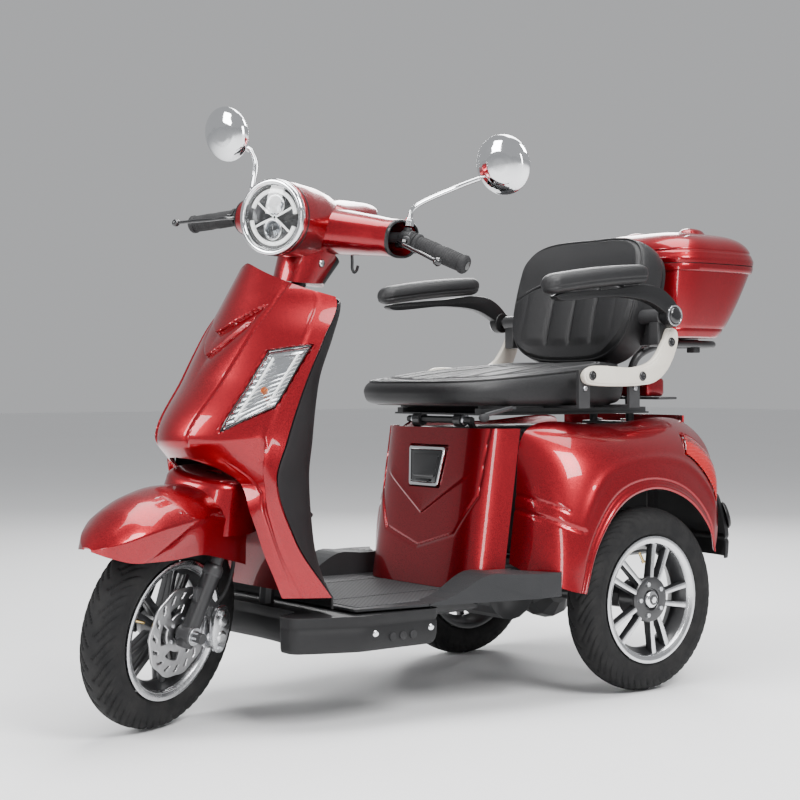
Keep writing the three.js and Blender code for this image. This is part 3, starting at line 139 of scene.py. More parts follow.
def steered(points):
    """Turns points from straight ahead to the resting steering angle, about the steering axis."""
    p = np.asarray(points, float) - HEAD_BASE
    c, s = math.cos(TURN), math.sin(TURN)
    along = (p @ HEAD)[..., None] * HEAD
    return p * c + np.cross(HEAD, p) * s + along * (1 - c) + HEAD_BASE + HEAD * LIFT


# ---------- shapes
def mix(a, b, t):
    return a + (b - a) * t


def unit(a):
    a = np.asarray(a, float)
    return a / np.maximum(np.linalg.norm(a, axis=-1, keepdims=True), 1e-12)


def xyz(x, y, z):
    return np.stack(np.broadcast_arrays(x, y, z), -1).astype(float)


def spread(nu, nv):
    """Two parameters from 0 to 1 on a grid."""
    return np.meshgrid(np.linspace(0, 1, nu), np.linspace(0, 1, nv), indexing="ij")


def through(pairs, at):
    """A smooth curve through (position, value) pairs: cubic pieces whose slopes never overshoot."""
    p = np.array(sorted(pairs), float)
    x, y = p[:, 0], p[:, 1]
    h = np.diff(x)
    s = np.diff(y) / h
    m = np.zeros(len(x))
    m[0], m[-1] = s[0], s[-1]
    if len(x) > 2:
        same = s[:-1] * s[1:] > 0
        inner = np.zeros(len(x) - 2)
        inner[same] = 2 * s[:-1][same] * s[1:][same] / (s[:-1][same] + s[1:][same])
        m[1:-1] = inner
    at = np.clip(at, x[0], x[-1])
    k = np.clip(np.searchsorted(x, at, side="right") - 1, 0, len(x) - 2)
    t = (at - x[k]) / h[k]
    a = (2 * t ** 3 - 3 * t ** 2 + 1) * y[k] + (t ** 3 - 2 * t ** 2 + t) * h[k] * m[k]
    return a + (3 * t ** 2 - 2 * t ** 3) * y[k + 1] + (t ** 3 - t ** 2) * h[k] * m[k + 1]


def spline(points, count, closed=False):
    """Points evenly spaced in parameter on a Catmull-Rom curve, spaced by the root of the distances."""
    p = np.asarray(points, float)
    if closed:
        p = np.vstack([p[-1], p, p[0], p[1]])
    else:
        p = np.vstack([2 * p[0] - p[1], p, 2 * p[-1] - p[-2]])
    gaps = np.sqrt(np.maximum(np.linalg.norm(np.diff(p, axis=0), axis=1), 1e-9))
    knots = np.concatenate([[0], np.cumsum(gaps)])
    t = np.linspace(knots[1], knots[-2], count, endpoint=not closed)
    k = np.clip(np.searchsorted(knots, t, side="right") - 1, 1, len(p) - 3)

    def lerp(a, b, i, j):
        w = ((t - knots[i]) / (knots[j] - knots[i]))[:, None]
        return a * (1 - w) + b * w

    a1 = lerp(p[k - 1], p[k], k - 1, k)
    a2 = lerp(p[k], p[k + 1], k, k + 1)
    a3 = lerp(p[k + 1], p[k + 2], k + 1, k + 2)
    b1 = lerp(a1, a2, k - 1, k + 1)
    b2 = lerp(a2, a3, k, k + 2)
    return lerp(b1, b2, k, k + 1)


def rounded(points, radius, steps=4, closed=True):
    """Rounds the corners of a line: each corner becomes a short parabola between points on its two sides."""
    p = np.asarray(points, float)
    before, after = np.roll(p, 1, 0), np.roll(p, -1, 0)
    reach_b = np.minimum(radius, 0.45 * np.linalg.norm(before - p, axis=1))[:, None]
    reach_a = np.minimum(radius, 0.45 * np.linalg.norm(after - p, axis=1))[:, None]
    a = p + unit(before - p) * reach_b
    b = p + unit(after - p) * reach_a
    t = np.linspace(0, 1, steps + 1)[None, :, None]
    arc = (1 - t) ** 2 * a[:, None] + 2 * t * (1 - t) * p[:, None] + t ** 2 * b[:, None]
    if closed:
        return arc.reshape(-1, p.shape[1])
    return np.vstack([p[:1], arc[1:-1].reshape(-1, p.shape[1]), p[-1:]])


def squircle(u, a, b, power):
    """A rounded rectangle of half sizes a and b: power 2 is an ellipse, 4 and more a soft box."""
    angle = u * 2 * np.pi
    c, s = np.cos(angle), np.sin(angle)
    size = (np.abs(c) ** power + np.abs(s) ** power) ** (-1 / power)
    return a * c * size, b * s * size


def quads(nu, nv, wrap_u=False, wrap_v=False):
    i = np.arange(nu if wrap_u else nu - 1)
    j = np.arange(nv if wrap_v else nv - 1)
    a, b = np.meshgrid(i, j, indexing="ij")
    c, d = (a + 1) % nu, (b + 1) % nv
    return np.stack([a * nv + b, c * nv + b, c * nv + d, a * nv + d], -1).reshape(-1, 4)


class Shape:
    """Points in millimetres, faces as lists of point numbers, and a finish number for each face."""

    def __init__(self, points, faces, tags=0):
        self.points = np.asarray(points, float).reshape(-1, 3)
        self.faces = [list(f) for f in (faces.tolist() if isinstance(faces, np.ndarray) else faces)]
        self.tags = np.broadcast_to(np.asarray(tags, int), (len(self.faces),)).copy()

    def __add__(self, other):
        shift = len(self.points)
        moved = [[i + shift for i in f] for f in other.faces]
        joined = Shape(np.vstack([self.points, other.points]), self.faces + moved)
        joined.tags = np.concatenate([self.tags, other.tags])
        return joined

    def placed(self, function):
        copy = Shape(function(self.points), self.faces)
        copy.tags = self.tags.copy()
        return copy

    def mirrored(self):
        copy = self.placed(lambda p: p * np.array([-1.0, 1.0, 1.0]))
        copy.faces = [f[::-1] for f in copy.faces]
        return copy

    def both(self):
        return self + self.mirrored()

    def tagged(self, tag):
        self.tags[:] = tag
        return self


NOTHING = Shape([], [])


def sided(side):
    """The name of a side, and what turns a shape modelled on the left into the shape of that side."""
    return ("left", lambda s: s) if side > 0 else ("right", lambda s: s.mirrored())


def turns(count):
    """Angles evenly spaced round a full turn."""
    return np.linspace(0, 2 * np.pi, count, endpoint=False)


def normals_of(grid):
    return unit(np.cross(np.gradient(grid, axis=0), np.gradient(grid, axis=1)))


def facing(grid, inside):
    """The normals of a grid, turned to point away from the inside point."""
    n = normals_of(grid)
    return n if np.sum(n * (grid - np.asarray(inside, float))) > 0 else -n


def skin(grid, thickness, inside, lift=0.0):
    """A closed skin: the grid, and the same grid moved towards the inside point, joined round the border."""
    n = facing(grid, inside)
    front = grid + n * lift
    back = front - n * thickness
    nu, nv = grid.shape[:2]
    total = nu * nv
    top = quads(nu, nv)
    rows = np.arange(total).reshape(nu, nv)
    ring = np.concatenate([rows[:-1, 0], rows[-1, :-1], rows[:0:-1, -1], rows[0, :0:-1]])
    after = np.roll(ring, -1)
    rim = np.stack([ring, after, after + total, ring + total], -1)
    faces = np.vstack([top, top[:, ::-1] + total, rim])
    return Shape(np.vstack([front.reshape(-1, 3), back.reshape(-1, 3)]), faces)


def loft(rings, caps=True):
    """A body swept through rings: rows run along it, columns go round; flat faces close both ends."""
    along, around = rings.shape[:2]
    faces = quads(along, around, wrap_v=True).tolist()
    if caps:
        faces += [list(range(around))[::-1], list(range((along - 1) * around, along * around))]
    return Shape(rings, faces)


def frames_on(path):
    """Two directions square to a path, carried along it with as little twist as possible."""
    t = unit(np.gradient(path, axis=0))
    start = np.array([0.0, 0.0, 1.0]) if abs(t[0][2]) < 0.9 else np.array([1.0, 0.0, 0.0])
    side = unit(np.cross(t[0], start))
    sides = [side]
    for k in range(1, len(path)):
        side = unit(side - t[k] * (side @ t[k]))
        sides.append(side)
    a = np.array(sides)
    return a, np.cross(t, a)


def tube(path, radius, sides=14, flat=1.0):
    """A bar: circles of the given radius, one number or one for each point, carried along the path."""
    path = np.asarray(path, float)
    a, b = frames_on(path)
    angle = turns(sides)
    r = np.broadcast_to(np.asarray(radius, float), (len(path),))[:, None, None]
    ring = a[:, None] * np.cos(angle)[None, :, None] + b[:, None] * np.sin(angle)[None, :, None] * flat
    return loft(path[:, None] + ring * r)


def hose(points, radius, count=40, sides=12):
    return tube(spline(points, count), radius, sides)


def rod(a, b, radius, sides=20, bevel=1.0):
    """A straight round bar from a to b with a small chamfer at each end."""
    a, b = np.asarray(a, float), np.asarray(b, float)
    length = np.linalg.norm(b - a)
    e = min(bevel, length / 3, radius / 2)
    return turned([(0, 0), (radius - e, 0), (radius, e), (radius, length - e), (radius - e, length),
        (0, length)], a, b, sides)


def turned(pairs, a, b, sides=72, closed=False):
    """A turned body about the line from a to b: pairs are (radius, distance from a)."""
    a, b = np.asarray(a, float), np.asarray(b, float)
    d = unit(b - a)
    side = unit(np.cross(d, [0.0, 0.0, 1.0] if abs(d[2]) < 0.9 else [1.0, 0.0, 0.0]))
    other = np.cross(d, side)
    p = np.asarray(pairs, float)
    angle = turns(sides)[:, None, None]
    wheel = side * np.cos(angle) + other * np.sin(angle)
    grid = a + d * p[None, :, 1, None] + wheel * p[None, :, 0, None]
    return Shape(grid, quads(sides, len(p), True, closed))


def plate(outline, across, up, low, high, bevel=1.0, depth=None):
    """An outline in the plane of two directions, extruded from low to high with soft edges."""
    p = np.asarray(outline, float)
    across, up = np.asarray(across, float), np.asarray(up, float)
    depth = np.cross(across, up) if depth is None else np.asarray(depth, float)
    t = unit(np.roll(p, -1, 0) - np.roll(p, 1, 0))
    area = np.sum(p[:, 0] * np.roll(p[:, 1], -1) - np.roll(p[:, 0], -1) * p[:, 1])
    inward = np.stack([-t[:, 1], t[:, 0]], -1) * (1 if area > 0 else -1)
    levels = [(low, bevel), (low + bevel * 0.3, bevel * 0.3), (low + bevel, 0), (high - bevel, 0),
        (high - bevel * 0.3, bevel * 0.3), (high, bevel)]
    rings = []
    for level, inset in levels:
        q = p + inward * inset
        rings.append(q[:, :1] * across + q[:, 1:] * up + depth * level)
    return loft(np.array(rings))


def side_plate(outline, low, high, bevel):
    """A plate whose outline is drawn in the side view, from low to high across the vehicle."""
    return plate(outline, (0, 1, 0), (0, 0, 1), low, high, bevel, (1, 0, 0))


def block(x0, x1, y0, y1, z0, z1, bevel=1.0, corner=None):
    """A box with rounded edges."""
    c = bevel if corner is None else corner
    outline = rounded([(x0, y0), (x1, y0), (x1, y1), (x0, y1)], c, 4)
    return plate(outline, (1, 0, 0), (0, 1, 0), z0, z1, bevel)


def ball(centre, radius, sides=24, squeeze=(1, 1, 1)):
    u = turns(sides)[:, None]
    w = np.linspace(0, np.pi, sides // 2 + 1)[None, :]
    grid = xyz(np.sin(w) * np.cos(u), np.sin(w) * np.sin(u), np.cos(w) + 0 * u)
    return Shape((grid * radius * np.asarray(squeeze, float) + np.asarray(centre, float)).reshape(-1, 3),
        quads(sides, sides // 2 + 1, True))


def hexagon(a, b, radius):
    """A bolt head or nut from a to b."""
    length = float(np.linalg.norm(np.asarray(b, float) - np.asarray(a, float)))
    return turned([(0, 0), (radius, 0), (radius, length - 0.8), (radius - 1.2, length), (0, length)], a, b, 6)


def soft_fall(distance, width):
    """One on a line, fading to nothing at the given width."""
    return np.exp(-(distance / width) ** 2)


def line_distance(px, py, a, b):
    """The distance from points to the straight piece between a and b, in the same plane."""
    (ax, ay), (bx, by) = a, b
    dx, dy = bx - ax, by - ay
    t = np.clip(((px - ax) * dx + (py - ay) * dy) / (dx * dx + dy * dy), 0, 1)
    return np.hypot(px - ax - t * dx, py - ay - t * dy)


# ---------- shader expressions
class Wire:
    """A value in a shader. Arithmetic on it adds the Math node that works it out."""

    def __init__(self, net, socket):
        self.net, self.socket = net, socket

    def _math(self, operation, *values):
        return self.net.node("Math", {"operation": operation}, dict(enumerate(values)))

    def __add__(self, other):
        return self._math("ADD", self, other)

    def __radd__(self, other):
        return self._math("ADD", other, self)

    def __sub__(self, other):
        return self._math("SUBTRACT", self, other)

    def __rsub__(self, other):
        return self._math("SUBTRACT", other, self)

    def __mul__(self, other):
        return self._math("MULTIPLY", self, other)

    def __rmul__(self, other):
        return self._math("MULTIPLY", other, self)

    def __truediv__(self, other):
        return self._math("DIVIDE", self, other)

    def of(self, operation, *others):
        return self._math(operation, self, *others)

    def step(self, low, high):
        """Nought below low, one above high, and a straight slope between."""
        settings = {"clamp": True}
        return self.net.node("MapRange", settings, {"Value": self, "From Min": low, "From Max": high})


class Finish:
    """One material. node adds any node: its type, its settings, then the values or links of its sockets."""

    def __init__(self, name, **sockets):
        self.material = bpy.data.materials.new(name)
        self.material.use_nodes = True
        self.tree = self.material.node_tree
        self.shader = self.tree.nodes["Principled BSDF"]
        self.set(**sockets)

    def node(self, kind, settings=None, sockets=None, out=0):
        node = self.tree.nodes.new("ShaderNode" + kind)
        for key, value in (settings or {}).items():
            if key == "stops":
                ramp = node.color_ramp
                while len(ramp.elements) < len(value):
                    ramp.elements.new(0.5)
                for element, (place, colour) in zip(ramp.elements, value):
                    element.position = place
                    element.color = (*colour, 1) if len(colour) == 3 else colour
            else:
                setattr(node, key, value)
        for key, value in (sockets or {}).items():
            self.feed(node.inputs[key], value)
        return Wire(self, node.outputs[out])

    def feed(self, socket, value):
        if isinstance(value, Wire):
            self.tree.links.new(value.socket, socket)
        elif isinstance(value, tuple) and len(value) == 3 and socket.type == "RGBA":
            socket.default_value = (*value, 1)
        else:
            socket.default_value = value

    def set(self, **sockets):
        for key, value in sockets.items():
            self.feed(self.shader.inputs[key.replace("_", " ")], value)
        return self

    def place(self, scale=(1, 1, 1), centre=(0, 0, 0), turn=(0, 0, 0)):
        """Object coordinates, in metres, moved, turned and stretched."""
        where = self.node("TexCoord", {}, {}, "Object")
        return self.node("Mapping", {"vector_type": "POINT"}, {"Vector": where, "Location": centre,
            "Rotation": turn, "Scale": scale})

    def noise(self, scale, detail=2.0, rough=0.5, where=None, out="Fac"):
        sockets = {"Scale": scale, "Detail": detail, "Roughness": rough, "Vector": where or self.place()}
        return self.node("TexNoise", {}, sockets, out)

    def cells(self, scale, feature="F1", where=None, out="Distance", randomness=1.0):
        sockets = {"Scale": scale, "Vector": where or self.place(), "Randomness": randomness}
        return self.node("TexVoronoi", {"feature": feature}, sockets, out)

    def blend(self, factor, a, b, kind="MIX"):
        node = self.tree.nodes.new("ShaderNodeMix")
        node.data_type = "RGBA"
        node.blend_type = kind
        self.feed(node.inputs[0], factor)
        self.feed(node.inputs[6], a)
        self.feed(node.inputs[7], b)
        return Wire(self, node.outputs[2])

    def part(self, vector):
        """The three numbers of a vector."""
        node = self.tree.nodes.new("ShaderNodeSeparateXYZ")
        self.feed(node.inputs[0], vector)
        return [Wire(self, socket) for socket in node.outputs]

    def bump(self, height, distance=0.001, strength=1.0, normal=None):
        sockets = {"Height": height, "Distance": distance, "Strength": strength}
        if normal is not None:
            sockets["Normal"] = normal
        self.set(Normal=self.node("Bump", {}, sockets, "Normal"))
        return self

    def done(self, mask, low, high, rough, *relief):
        """A colour from low to high by the mask, a roughness, and a relief of height, depth and strength."""
        self.set(Base_Color=self.blend(mask, low, high), Roughness=rough).bump(*relief)
        return self.material

    def edges(self, width=0.0):
        """One on outward edges, where handling wears a finish."""
        return self.node("NewGeometry", {}, {}, "Pointiness").step(0.51, 0.56 + width)


def grime(f, scale=6.0, amount=0.5):
    """Slow patches of dust and rubbing, from 0 to amount."""
    return f.noise(scale, 5.0, 0.6).step(0.42, 0.72) * amount


def red_paint(name="candy red paint", dark=1.0):
    """Metallic flakes under a red tint and a clear coat, with a slight orange peel; dark below one scales the
    whole colour down, for a copy that carries painted shade.
    """
    f = Finish(name, Metallic=0.78, Coat_Weight=0.9, Coat_Roughness=0.02, Coat_IOR=1.42)
    flakes = f.cells(1500.0, out="Color")
    sparkle = f.part(flakes)[0]
    low = (0.12 * dark, 0.0001 * dark, 0.0035 * dark)
    high = (0.44 * dark, 0.0004 * dark, 0.0110 * dark)
    return f.done(sparkle * 0.55 + f.noise(3.0) * 0.25, low, high,
        0.25 + sparkle * 0.10 + grime(f, 5.0, 0.05), f.noise(170.0, 2.0) + sparkle * 0.12, 0.00035, 0.22)


def textured_plastic(name, colour, rough=0.55, grain=1200.0, depth=0.00022):
    """Moulded plastic with a fine leather-like grain, paler where it has been rubbed."""
    f = Finish(name, Specular_IOR_Level=0.30)
    speck = f.noise(grain, 3.0, 0.6)
    pale = tuple(min(1.0, c * 1.7 + 0.006) for c in colour)
    return f.done(grime(f, 9.0, 0.35) + f.edges() * 0.3, colour, pale,
        rough - f.edges() * 0.12 + f.noise(14.0) * 0.12 - 0.06, speck + f.cells(grain * 0.6), depth, 0.75)


def gloss_black():
    f = Finish("gloss black plastic", Coat_Weight=0.6, Coat_Roughness=0.04)
    return f.done(grime(f, 7.0, 0.4), (0.006, 0.006, 0.007), (0.016, 0.016, 0.018),
        0.16 + grime(f, 20.0, 0.1), f.noise(220.0, 2.0), 0.0002, 0.25)


def frame_paint():
    """Satin black powder coat: a pebbled surface with paler rubbed edges."""
    f = Finish("black powder coat", Specular_IOR_Level=0.5)
    return f.done(f.edges() * 0.4 + grime(f, 12.0, 0.3), (0.012, 0.012, 0.013), (0.05, 0.05, 0.052),
        0.36 + f.noise(60.0) * 0.1, f.noise(900.0, 2.0), 0.0003, 0.5)


def machined_alloy():
    """Turned and lacquered alloy: fine cutter rings about the axle, with a little variation between them."""
    f = Finish("machined alloy", Metallic=1.0, Coat_Weight=0.35, Coat_Roughness=0.06)
    streak = f.noise(1.0, 4.0, 0.7, f.place((1400.0, 9.0, 9.0)))
    return f.done(streak, (0.50, 0.505, 0.52), (0.82, 0.825, 0.84),
        0.17 + streak * 0.14 + grime(f, 18.0, 0.08), streak, 0.0001, 0.35)


def wheel_black():
    f = Finish("black wheel paint", Coat_Weight=0.4, Coat_Roughness=0.1)
    return f.done(f.noise(25.0), (0.010, 0.010, 0.011), (0.022, 0.022, 0.024), 0.3 + f.noise(300.0) * 0.12,
        f.noise(700.0), 0.00015, 0.4)


def tyre_rubber():
    """Tyre rubber: matt, with road dust on the tread and fine mould marks."""
    f = Finish("tyre rubber", Specular_IOR_Level=0.25)
    dust = f.noise(22.0, 6.0, 0.65).step(0.4, 0.75)
    return f.done(dust * 0.55, (0.007, 0.007, 0.0075), (0.026, 0.025, 0.024), 0.68 + f.noise(90.0) * 0.2,
        f.noise(520.0, 4.0, 0.7) + f.cells(900.0) * 0.6, 0.0004, 0.6)


def soft_rubber():
    f = Finish("grip rubber", Specular_IOR_Level=0.35)
    return f.done(grime(f, 30.0, 0.6), (0.014, 0.014, 0.015), (0.036, 0.036, 0.037),
        0.62 + f.noise(80.0) * 0.18, f.cells(1100.0), 0.0003, 0.6)


def chrome(name="chrome", tint=(0.83, 0.84, 0.855), rough=0.05):
    f = Finish(name, Metallic=1.0)
    haze = f.noise(40.0, 4.0, 0.6)
    return f.done(haze * 0.5, tint, tuple(c * 0.86 for c in tint), rough + haze.step(0.5, 0.8) * 0.07,
        f.noise(60.0), 0.0001, 0.12)


def ground_steel():
    """A ground brake face: fine marks that run round with faint pad rings."""
    f = Finish("ground steel", Metallic=1.0)
    mark = f.noise(1.0, 5.0, 0.7, f.place((600.0, 40.0, 40.0)))
    return f.done(mark, (0.42, 0.42, 0.43), (0.66, 0.66, 0.67), 0.24 + mark * 0.16, f.noise(400.0, 3.0),
        0.0001, 0.4)


def zinc():
    f = Finish("zinc plate", Metallic=1.0)
    patch = f.cells(260.0, out="Color")
    return f.done(f.part(patch)[1] * 0.5, (0.55, 0.56, 0.58), (0.75, 0.76, 0.78),
        0.28 + f.noise(140.0) * 0.15, f.noise(500.0), 0.0001, 0.4)


def leather():
    """Coated leather: irregular grain cells, small pores, and slow folds."""
    f = Finish("black leather", Specular_IOR_Level=0.36, Coat_Weight=0.06, Coat_Roughness=0.3)
    grain = f.cells(420.0, "DISTANCE_TO_EDGE")
    creases = grain.step(0.0, 0.22)
    pores = f.noise(1500.0, 3.0)
    folds = f.noise(14.0, 4.0, 0.6)
    return f.done(creases * 0.5 + folds * 0.3, (0.0055, 0.0055, 0.006), (0.015, 0.015, 0.0162),
        0.40 + folds * 0.14 - creases * 0.06, creases + pores * 0.35 + folds * 2.2, 0.00032, 0.75)


def thread():
    f = Finish("stitching thread", Sheen_Weight=0.3, Sheen_Roughness=0.5)
    ply = f.noise(1.0, 2.0, 0.5, f.place((1800.0, 1800.0, 400.0)))
    return f.done(ply, (0.045, 0.045, 0.047), (0.13, 0.13, 0.135), 0.7 + ply * 0.15, ply, 0.0003, 0.8)


def pale_paint():
    f = Finish("pale satin paint", Coat_Weight=0.25, Coat_Roughness=0.2)
    return f.done(grime(f, 8.0, 0.7), (0.66, 0.62, 0.54), (0.55, 0.50, 0.43), 0.33 + f.noise(120.0) * 0.12,
        f.noise(420.0, 3.0), 0.0002, 0.4)


def clear_plastic(name="clear lens", tint=(0.96, 0.97, 0.98), rough=0.03):
    """Clear moulded plastic with a slight ripple and hair-fine scratches."""
    f = Finish(name, Transmission_Weight=1.0, IOR=1.46, Coat_Weight=0.3)
    scratch = f.noise(1.0, 6.0, 0.8, f.place((40.0, 900.0, 160.0)))
    return f.done(scratch * 0.25, tint, tuple(c * 0.93 for c in tint),
        rough + scratch.step(0.62, 0.8) * 0.06, f.noise(50.0), 0.0002, 0.12)


def lamp_glow(name, colour, strength):
    f = Finish(name, Emission_Strength=strength)
    cell = f.cells(700.0)
    f.set(Base_Color=f.blend(cell, colour, tuple(min(1, c * 1.2) for c in colour)))
    f.set(Emission_Color=f.blend(cell, colour, tuple(c * 0.8 for c in colour)), Roughness=0.2 + cell * 0.1)
    f.bump(cell, 0.0003, 0.4)
    return f.material


def tinted_plastic(name, low, high, ribs=0.0, transmission=0.35):
    """A coloured lamp part, with moulded prisms where ribs is above nought."""
    f = Finish(name, Transmission_Weight=transmission, IOR=1.5, Coat_Weight=0.6, Coat_Roughness=0.03)
    flow = f.noise(30.0, 3.0)
    f.set(Base_Color=f.blend(flow, low, high))
    f.set(Roughness=0.08 + flow * 0.06)
    if ribs:
        wave = f.part(f.place((ribs, ribs, ribs)))
        f.bump((wave[2].of("SINE") + wave[0].of("SINE")) * 0.5, 0.001, 0.6)
    else:
        f.bump(flow, 0.0003, 0.2)
    return f.material


def deck_mat():
    """Ribbed floor rubber: small raised diamonds on a pebbled ground, with dust held between them."""
    f = Finish("deck mat", Specular_IOR_Level=0.35)
    x, y, _ = f.part(f.place())
    a = ((x + y) * 260.0).of("SINE").of("ABSOLUTE")
    b = ((x - y) * 260.0).of("SINE").of("ABSOLUTE")
    diamond = (a * b).of("POWER", 0.5).step(0.45, 0.72)
    dust = f.noise(10.0, 5.0, 0.6)
    return f.done(dust * 0.6 + diamond * 0.2, (0.024, 0.025, 0.027), (0.066, 0.066, 0.068),
        0.72 - diamond * 0.14 + dust * 0.1, diamond + f.noise(700.0) * 0.2, 0.0011, 0.8)


def mirror_glass():
    f = Finish("mirror glass", Metallic=1.0)
    wipe = f.noise(18.0, 4.0, 0.6)
    return f.done(wipe * 0.5, (0.84, 0.86, 0.88), (0.74, 0.76, 0.79), 0.02 + wipe.step(0.55, 0.8) * 0.05,
        wipe, 0.0001, 0.05)


def display_glass():
    """A dark instrument window: bars of a gauge, lit faintly from behind."""
    f = Finish("instrument window", Coat_Weight=1.0, Coat_Roughness=0.02, Emission_Strength=0.5)
    x = f.part(f.place())[0]
    bars = (x * 520.0).of("SINE").step(0.1, 0.3)
    f.set(Base_Color=f.blend(bars * 0.5, (0.008, 0.012, 0.016), (0.03, 0.06, 0.08)),
        Roughness=0.1 + bars * 0.05)
    f.set(Emission_Color=f.blend(bars, (0.0, 0.004, 0.006), (0.02, 0.07, 0.09)))
    return f.material


RED = red_paint()
# The darker copy of the red paint is painted shade, for the wall inside the shield's opening.
RED_PAINTED_SHADE = red_paint("candy red paint, painted shade", 0.62)
BLACK = textured_plastic("black plastic", (0.006, 0.006, 0.0066))
BLACK_FINE = textured_plastic("fine black plastic", (0.007, 0.007, 0.0075), 0.42, 2000.0, 0.0001)
GREY = textured_plastic("deck plastic", (0.013, 0.0134, 0.0145), 0.62, 700.0, 0.0004)
GLOSS = gloss_black()
COATED = frame_paint()
ALLOY = machined_alloy()
WHEEL_BLACK = wheel_black()
TYRE = tyre_rubber()
RUBBER = soft_rubber()
CHROME = chrome()
REFLECTOR = chrome("lamp reflector", (0.78, 0.79, 0.80), 0.09)
BRASS = chrome("brass", (0.72, 0.52, 0.22), 0.16)
DISC = ground_steel()
ZINC = zinc()
LEATHER = leather()
THREAD = thread()
PALE = pale_paint()
CLEAR = clear_plastic()
CLEAR_RED = tinted_plastic("red lens", (0.42, 0.004, 0.006), (0.62, 0.012, 0.014), 900.0)
AMBER = tinted_plastic("amber bulb", (0.55, 0.10, 0.01), (0.75, 0.18, 0.02))
WARM = lamp_glow("lit lamp", (0.95, 0.95, 0.92), 1.4)
MAT = deck_mat()
MIRROR = mirror_glass()
DISPLAY = display_glass()


# ---------- putting pieces in the scene
def build(name, shape, materials, body, merge=0.02, angle=32, node=None):
    """Puts a shape into the scene as one piece on a body, with its seams closed, in place of a CAD node."""
    mesh = bpy.data.meshes.new(name)
    mesh.from_pydata((shape.points * 0.001).tolist(), [], shape.faces)
    for material in materials if isinstance(materials, (list, tuple)) else [materials]:
        mesh.materials.append(material)
    mesh.polygons.foreach_set("material_index", shape.tags.astype(np.int32))
    clean = bmesh.new()
    clean.from_mesh(mesh)
    bmesh.ops.remove_doubles(clean, verts=clean.verts, dist=merge * 0.001)
    bmesh.ops.dissolve_degenerate(clean, edges=clean.edges, dist=1e-6)
    bmesh.ops.recalc_face_normals(clean, faces=clean.faces)
    clean.to_mesh(mesh)
    clean.free()
    mesh.polygons.foreach_set("use_smooth", [True] * len(mesh.polygons))
    mesh.set_sharp_from_angle(angle=math.radians(angle))
    piece = bpy.data.objects.new(name, mesh)
    bpy.context.scene.collection.objects.link(piece)
    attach(piece, body)
    if node:
        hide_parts(node)
    return piece


def on_steering(shape):
    return shape.placed(steered)


def steered_piece(name, shape, materials, body="steering_assembly", node=None):
    """A piece drawn straight ahead, turned to the resting steering angle."""
    return build(name, shape.placed(steered), materials, body, node=node)


def repaint(node, material):
    """Gives a CAD node a better finish and leaves its shape alone."""
    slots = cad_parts[node].material_slots
    for k in range(len(slots)):
        slots[k].material = material


def curve_at(points, t):
    """A centripetal Catmull-Rom curve: each stretch between points takes an equal share of t from 0 to 1."""
    p = np.asarray(points, float)
    p = np.vstack([2 * p[0] - p[1], p, 2 * p[-1] - p[-2]])
    t = np.asarray(t, float)
    x = t * (len(p) - 3)
    k = np.clip(np.floor(x).astype(int), 0, len(p) - 4)
    w = (x - k)[..., None]
    p0, p1, p2, p3 = p[k], p[k + 1], p[k + 2], p[k + 3]
    d0, d1, d2 = [np.sqrt(np.linalg.norm(b - a, axis=-1, keepdims=True)) for a,
        b in ((p0, p1), (p1, p2), (p2, p3))]
    m1 = ((p1 - p0) / d0 - (p2 - p0) / (d0 + d1) + (p2 - p1) / d1) * d1
    m2 = ((p2 - p1) / d1 - (p3 - p1) / (d1 + d2) + (p3 - p2) / d2) * d1
    a = (2 * w ** 3 - 3 * w ** 2 + 1) * p1 + (w ** 3 - 2 * w ** 2 + w) * m1
    return a + (3 * w ** 2 - 2 * w ** 3) * p2 + (w ** 3 - w ** 2) * m2


def pierced(name, grid, keep, thickness, material, body):
    """A sheet with openings: the grid's faces where keep is true, thickened equally to both sides."""
    nu, nv = grid.shape[:2]
    faces = quads(nu, nv)[keep.reshape(-1)]
    used, renumbered = np.unique(faces, return_inverse=True)
    shape = Shape(grid.reshape(-1, 3)[used], renumbered.reshape(-1, 4))
    piece = build(name, shape, material, body)
    wall = piece.modifiers.new("wall", "SOLIDIFY")
    wall.thickness = thickness * 0.001
    wall.offset = 0
    return piece


# ---------- sheets with openings and grooves
def thicken(grid, thickness, inside, keep=None, lift=0.0, tags=None, inner_tag=0):
    """Closes an open sheet: a second face set back along the normals, and a wall round every free edge."""
    n = facing(grid, inside)
    p = (grid + n * lift).reshape(-1, 3)
    faces = quads(*grid.shape[:2])
    marks = np.zeros(len(faces), int) if tags is None else np.asarray(tags).reshape(-1)
    if keep is not None:
        faces, marks = faces[keep.reshape(-1)], marks[keep.reshape(-1)]
    _, first, same = np.unique(np.round(p, 2), axis=0, return_index=True, return_inverse=True)
    p, faces = p[first], same.reshape(-1)[faces]
    across = np.cross(p[faces[:, 2]] - p[faces[:, 0]], p[faces[:, 3]] - p[faces[:, 1]])
    if np.sum(across * (p[faces[:, 0]] - np.asarray(inside, float))) < 0:
        faces, across = faces[:, ::-1], -across
    vn = np.zeros_like(p)
    for k in range(4):
        np.add.at(vn, faces[:, k], across)
    back = p - unit(vn) * thickness
    edges = np.vstack([faces[:, [k, (k + 1) % 4]] for k in range(4)])
    keys = np.sort(edges, axis=1)
    _, where, times = np.unique(keys, axis=0, return_inverse=True, return_counts=True)
    free = edges[times[where.reshape(-1)] == 1]
    total = len(p)
    rim = np.stack([free[:, 1], free[:, 0], free[:, 0] + total, free[:, 1] + total], -1)
    points = np.vstack([p, back])
    tags = np.concatenate([marks, np.full(len(faces) + len(rim), inner_tag)])
    used, new = np.unique(np.vstack([faces, faces[:, ::-1] + total, rim]), return_inverse=True)
    return Shape(points[used], new.reshape(-1, 4), tags)


def ease(value, width):
    """Zero below nothing, one above width, and a smooth step between."""
    t = np.clip(value / width, 0, 1)
    return t * t * (3 - 2 * t)


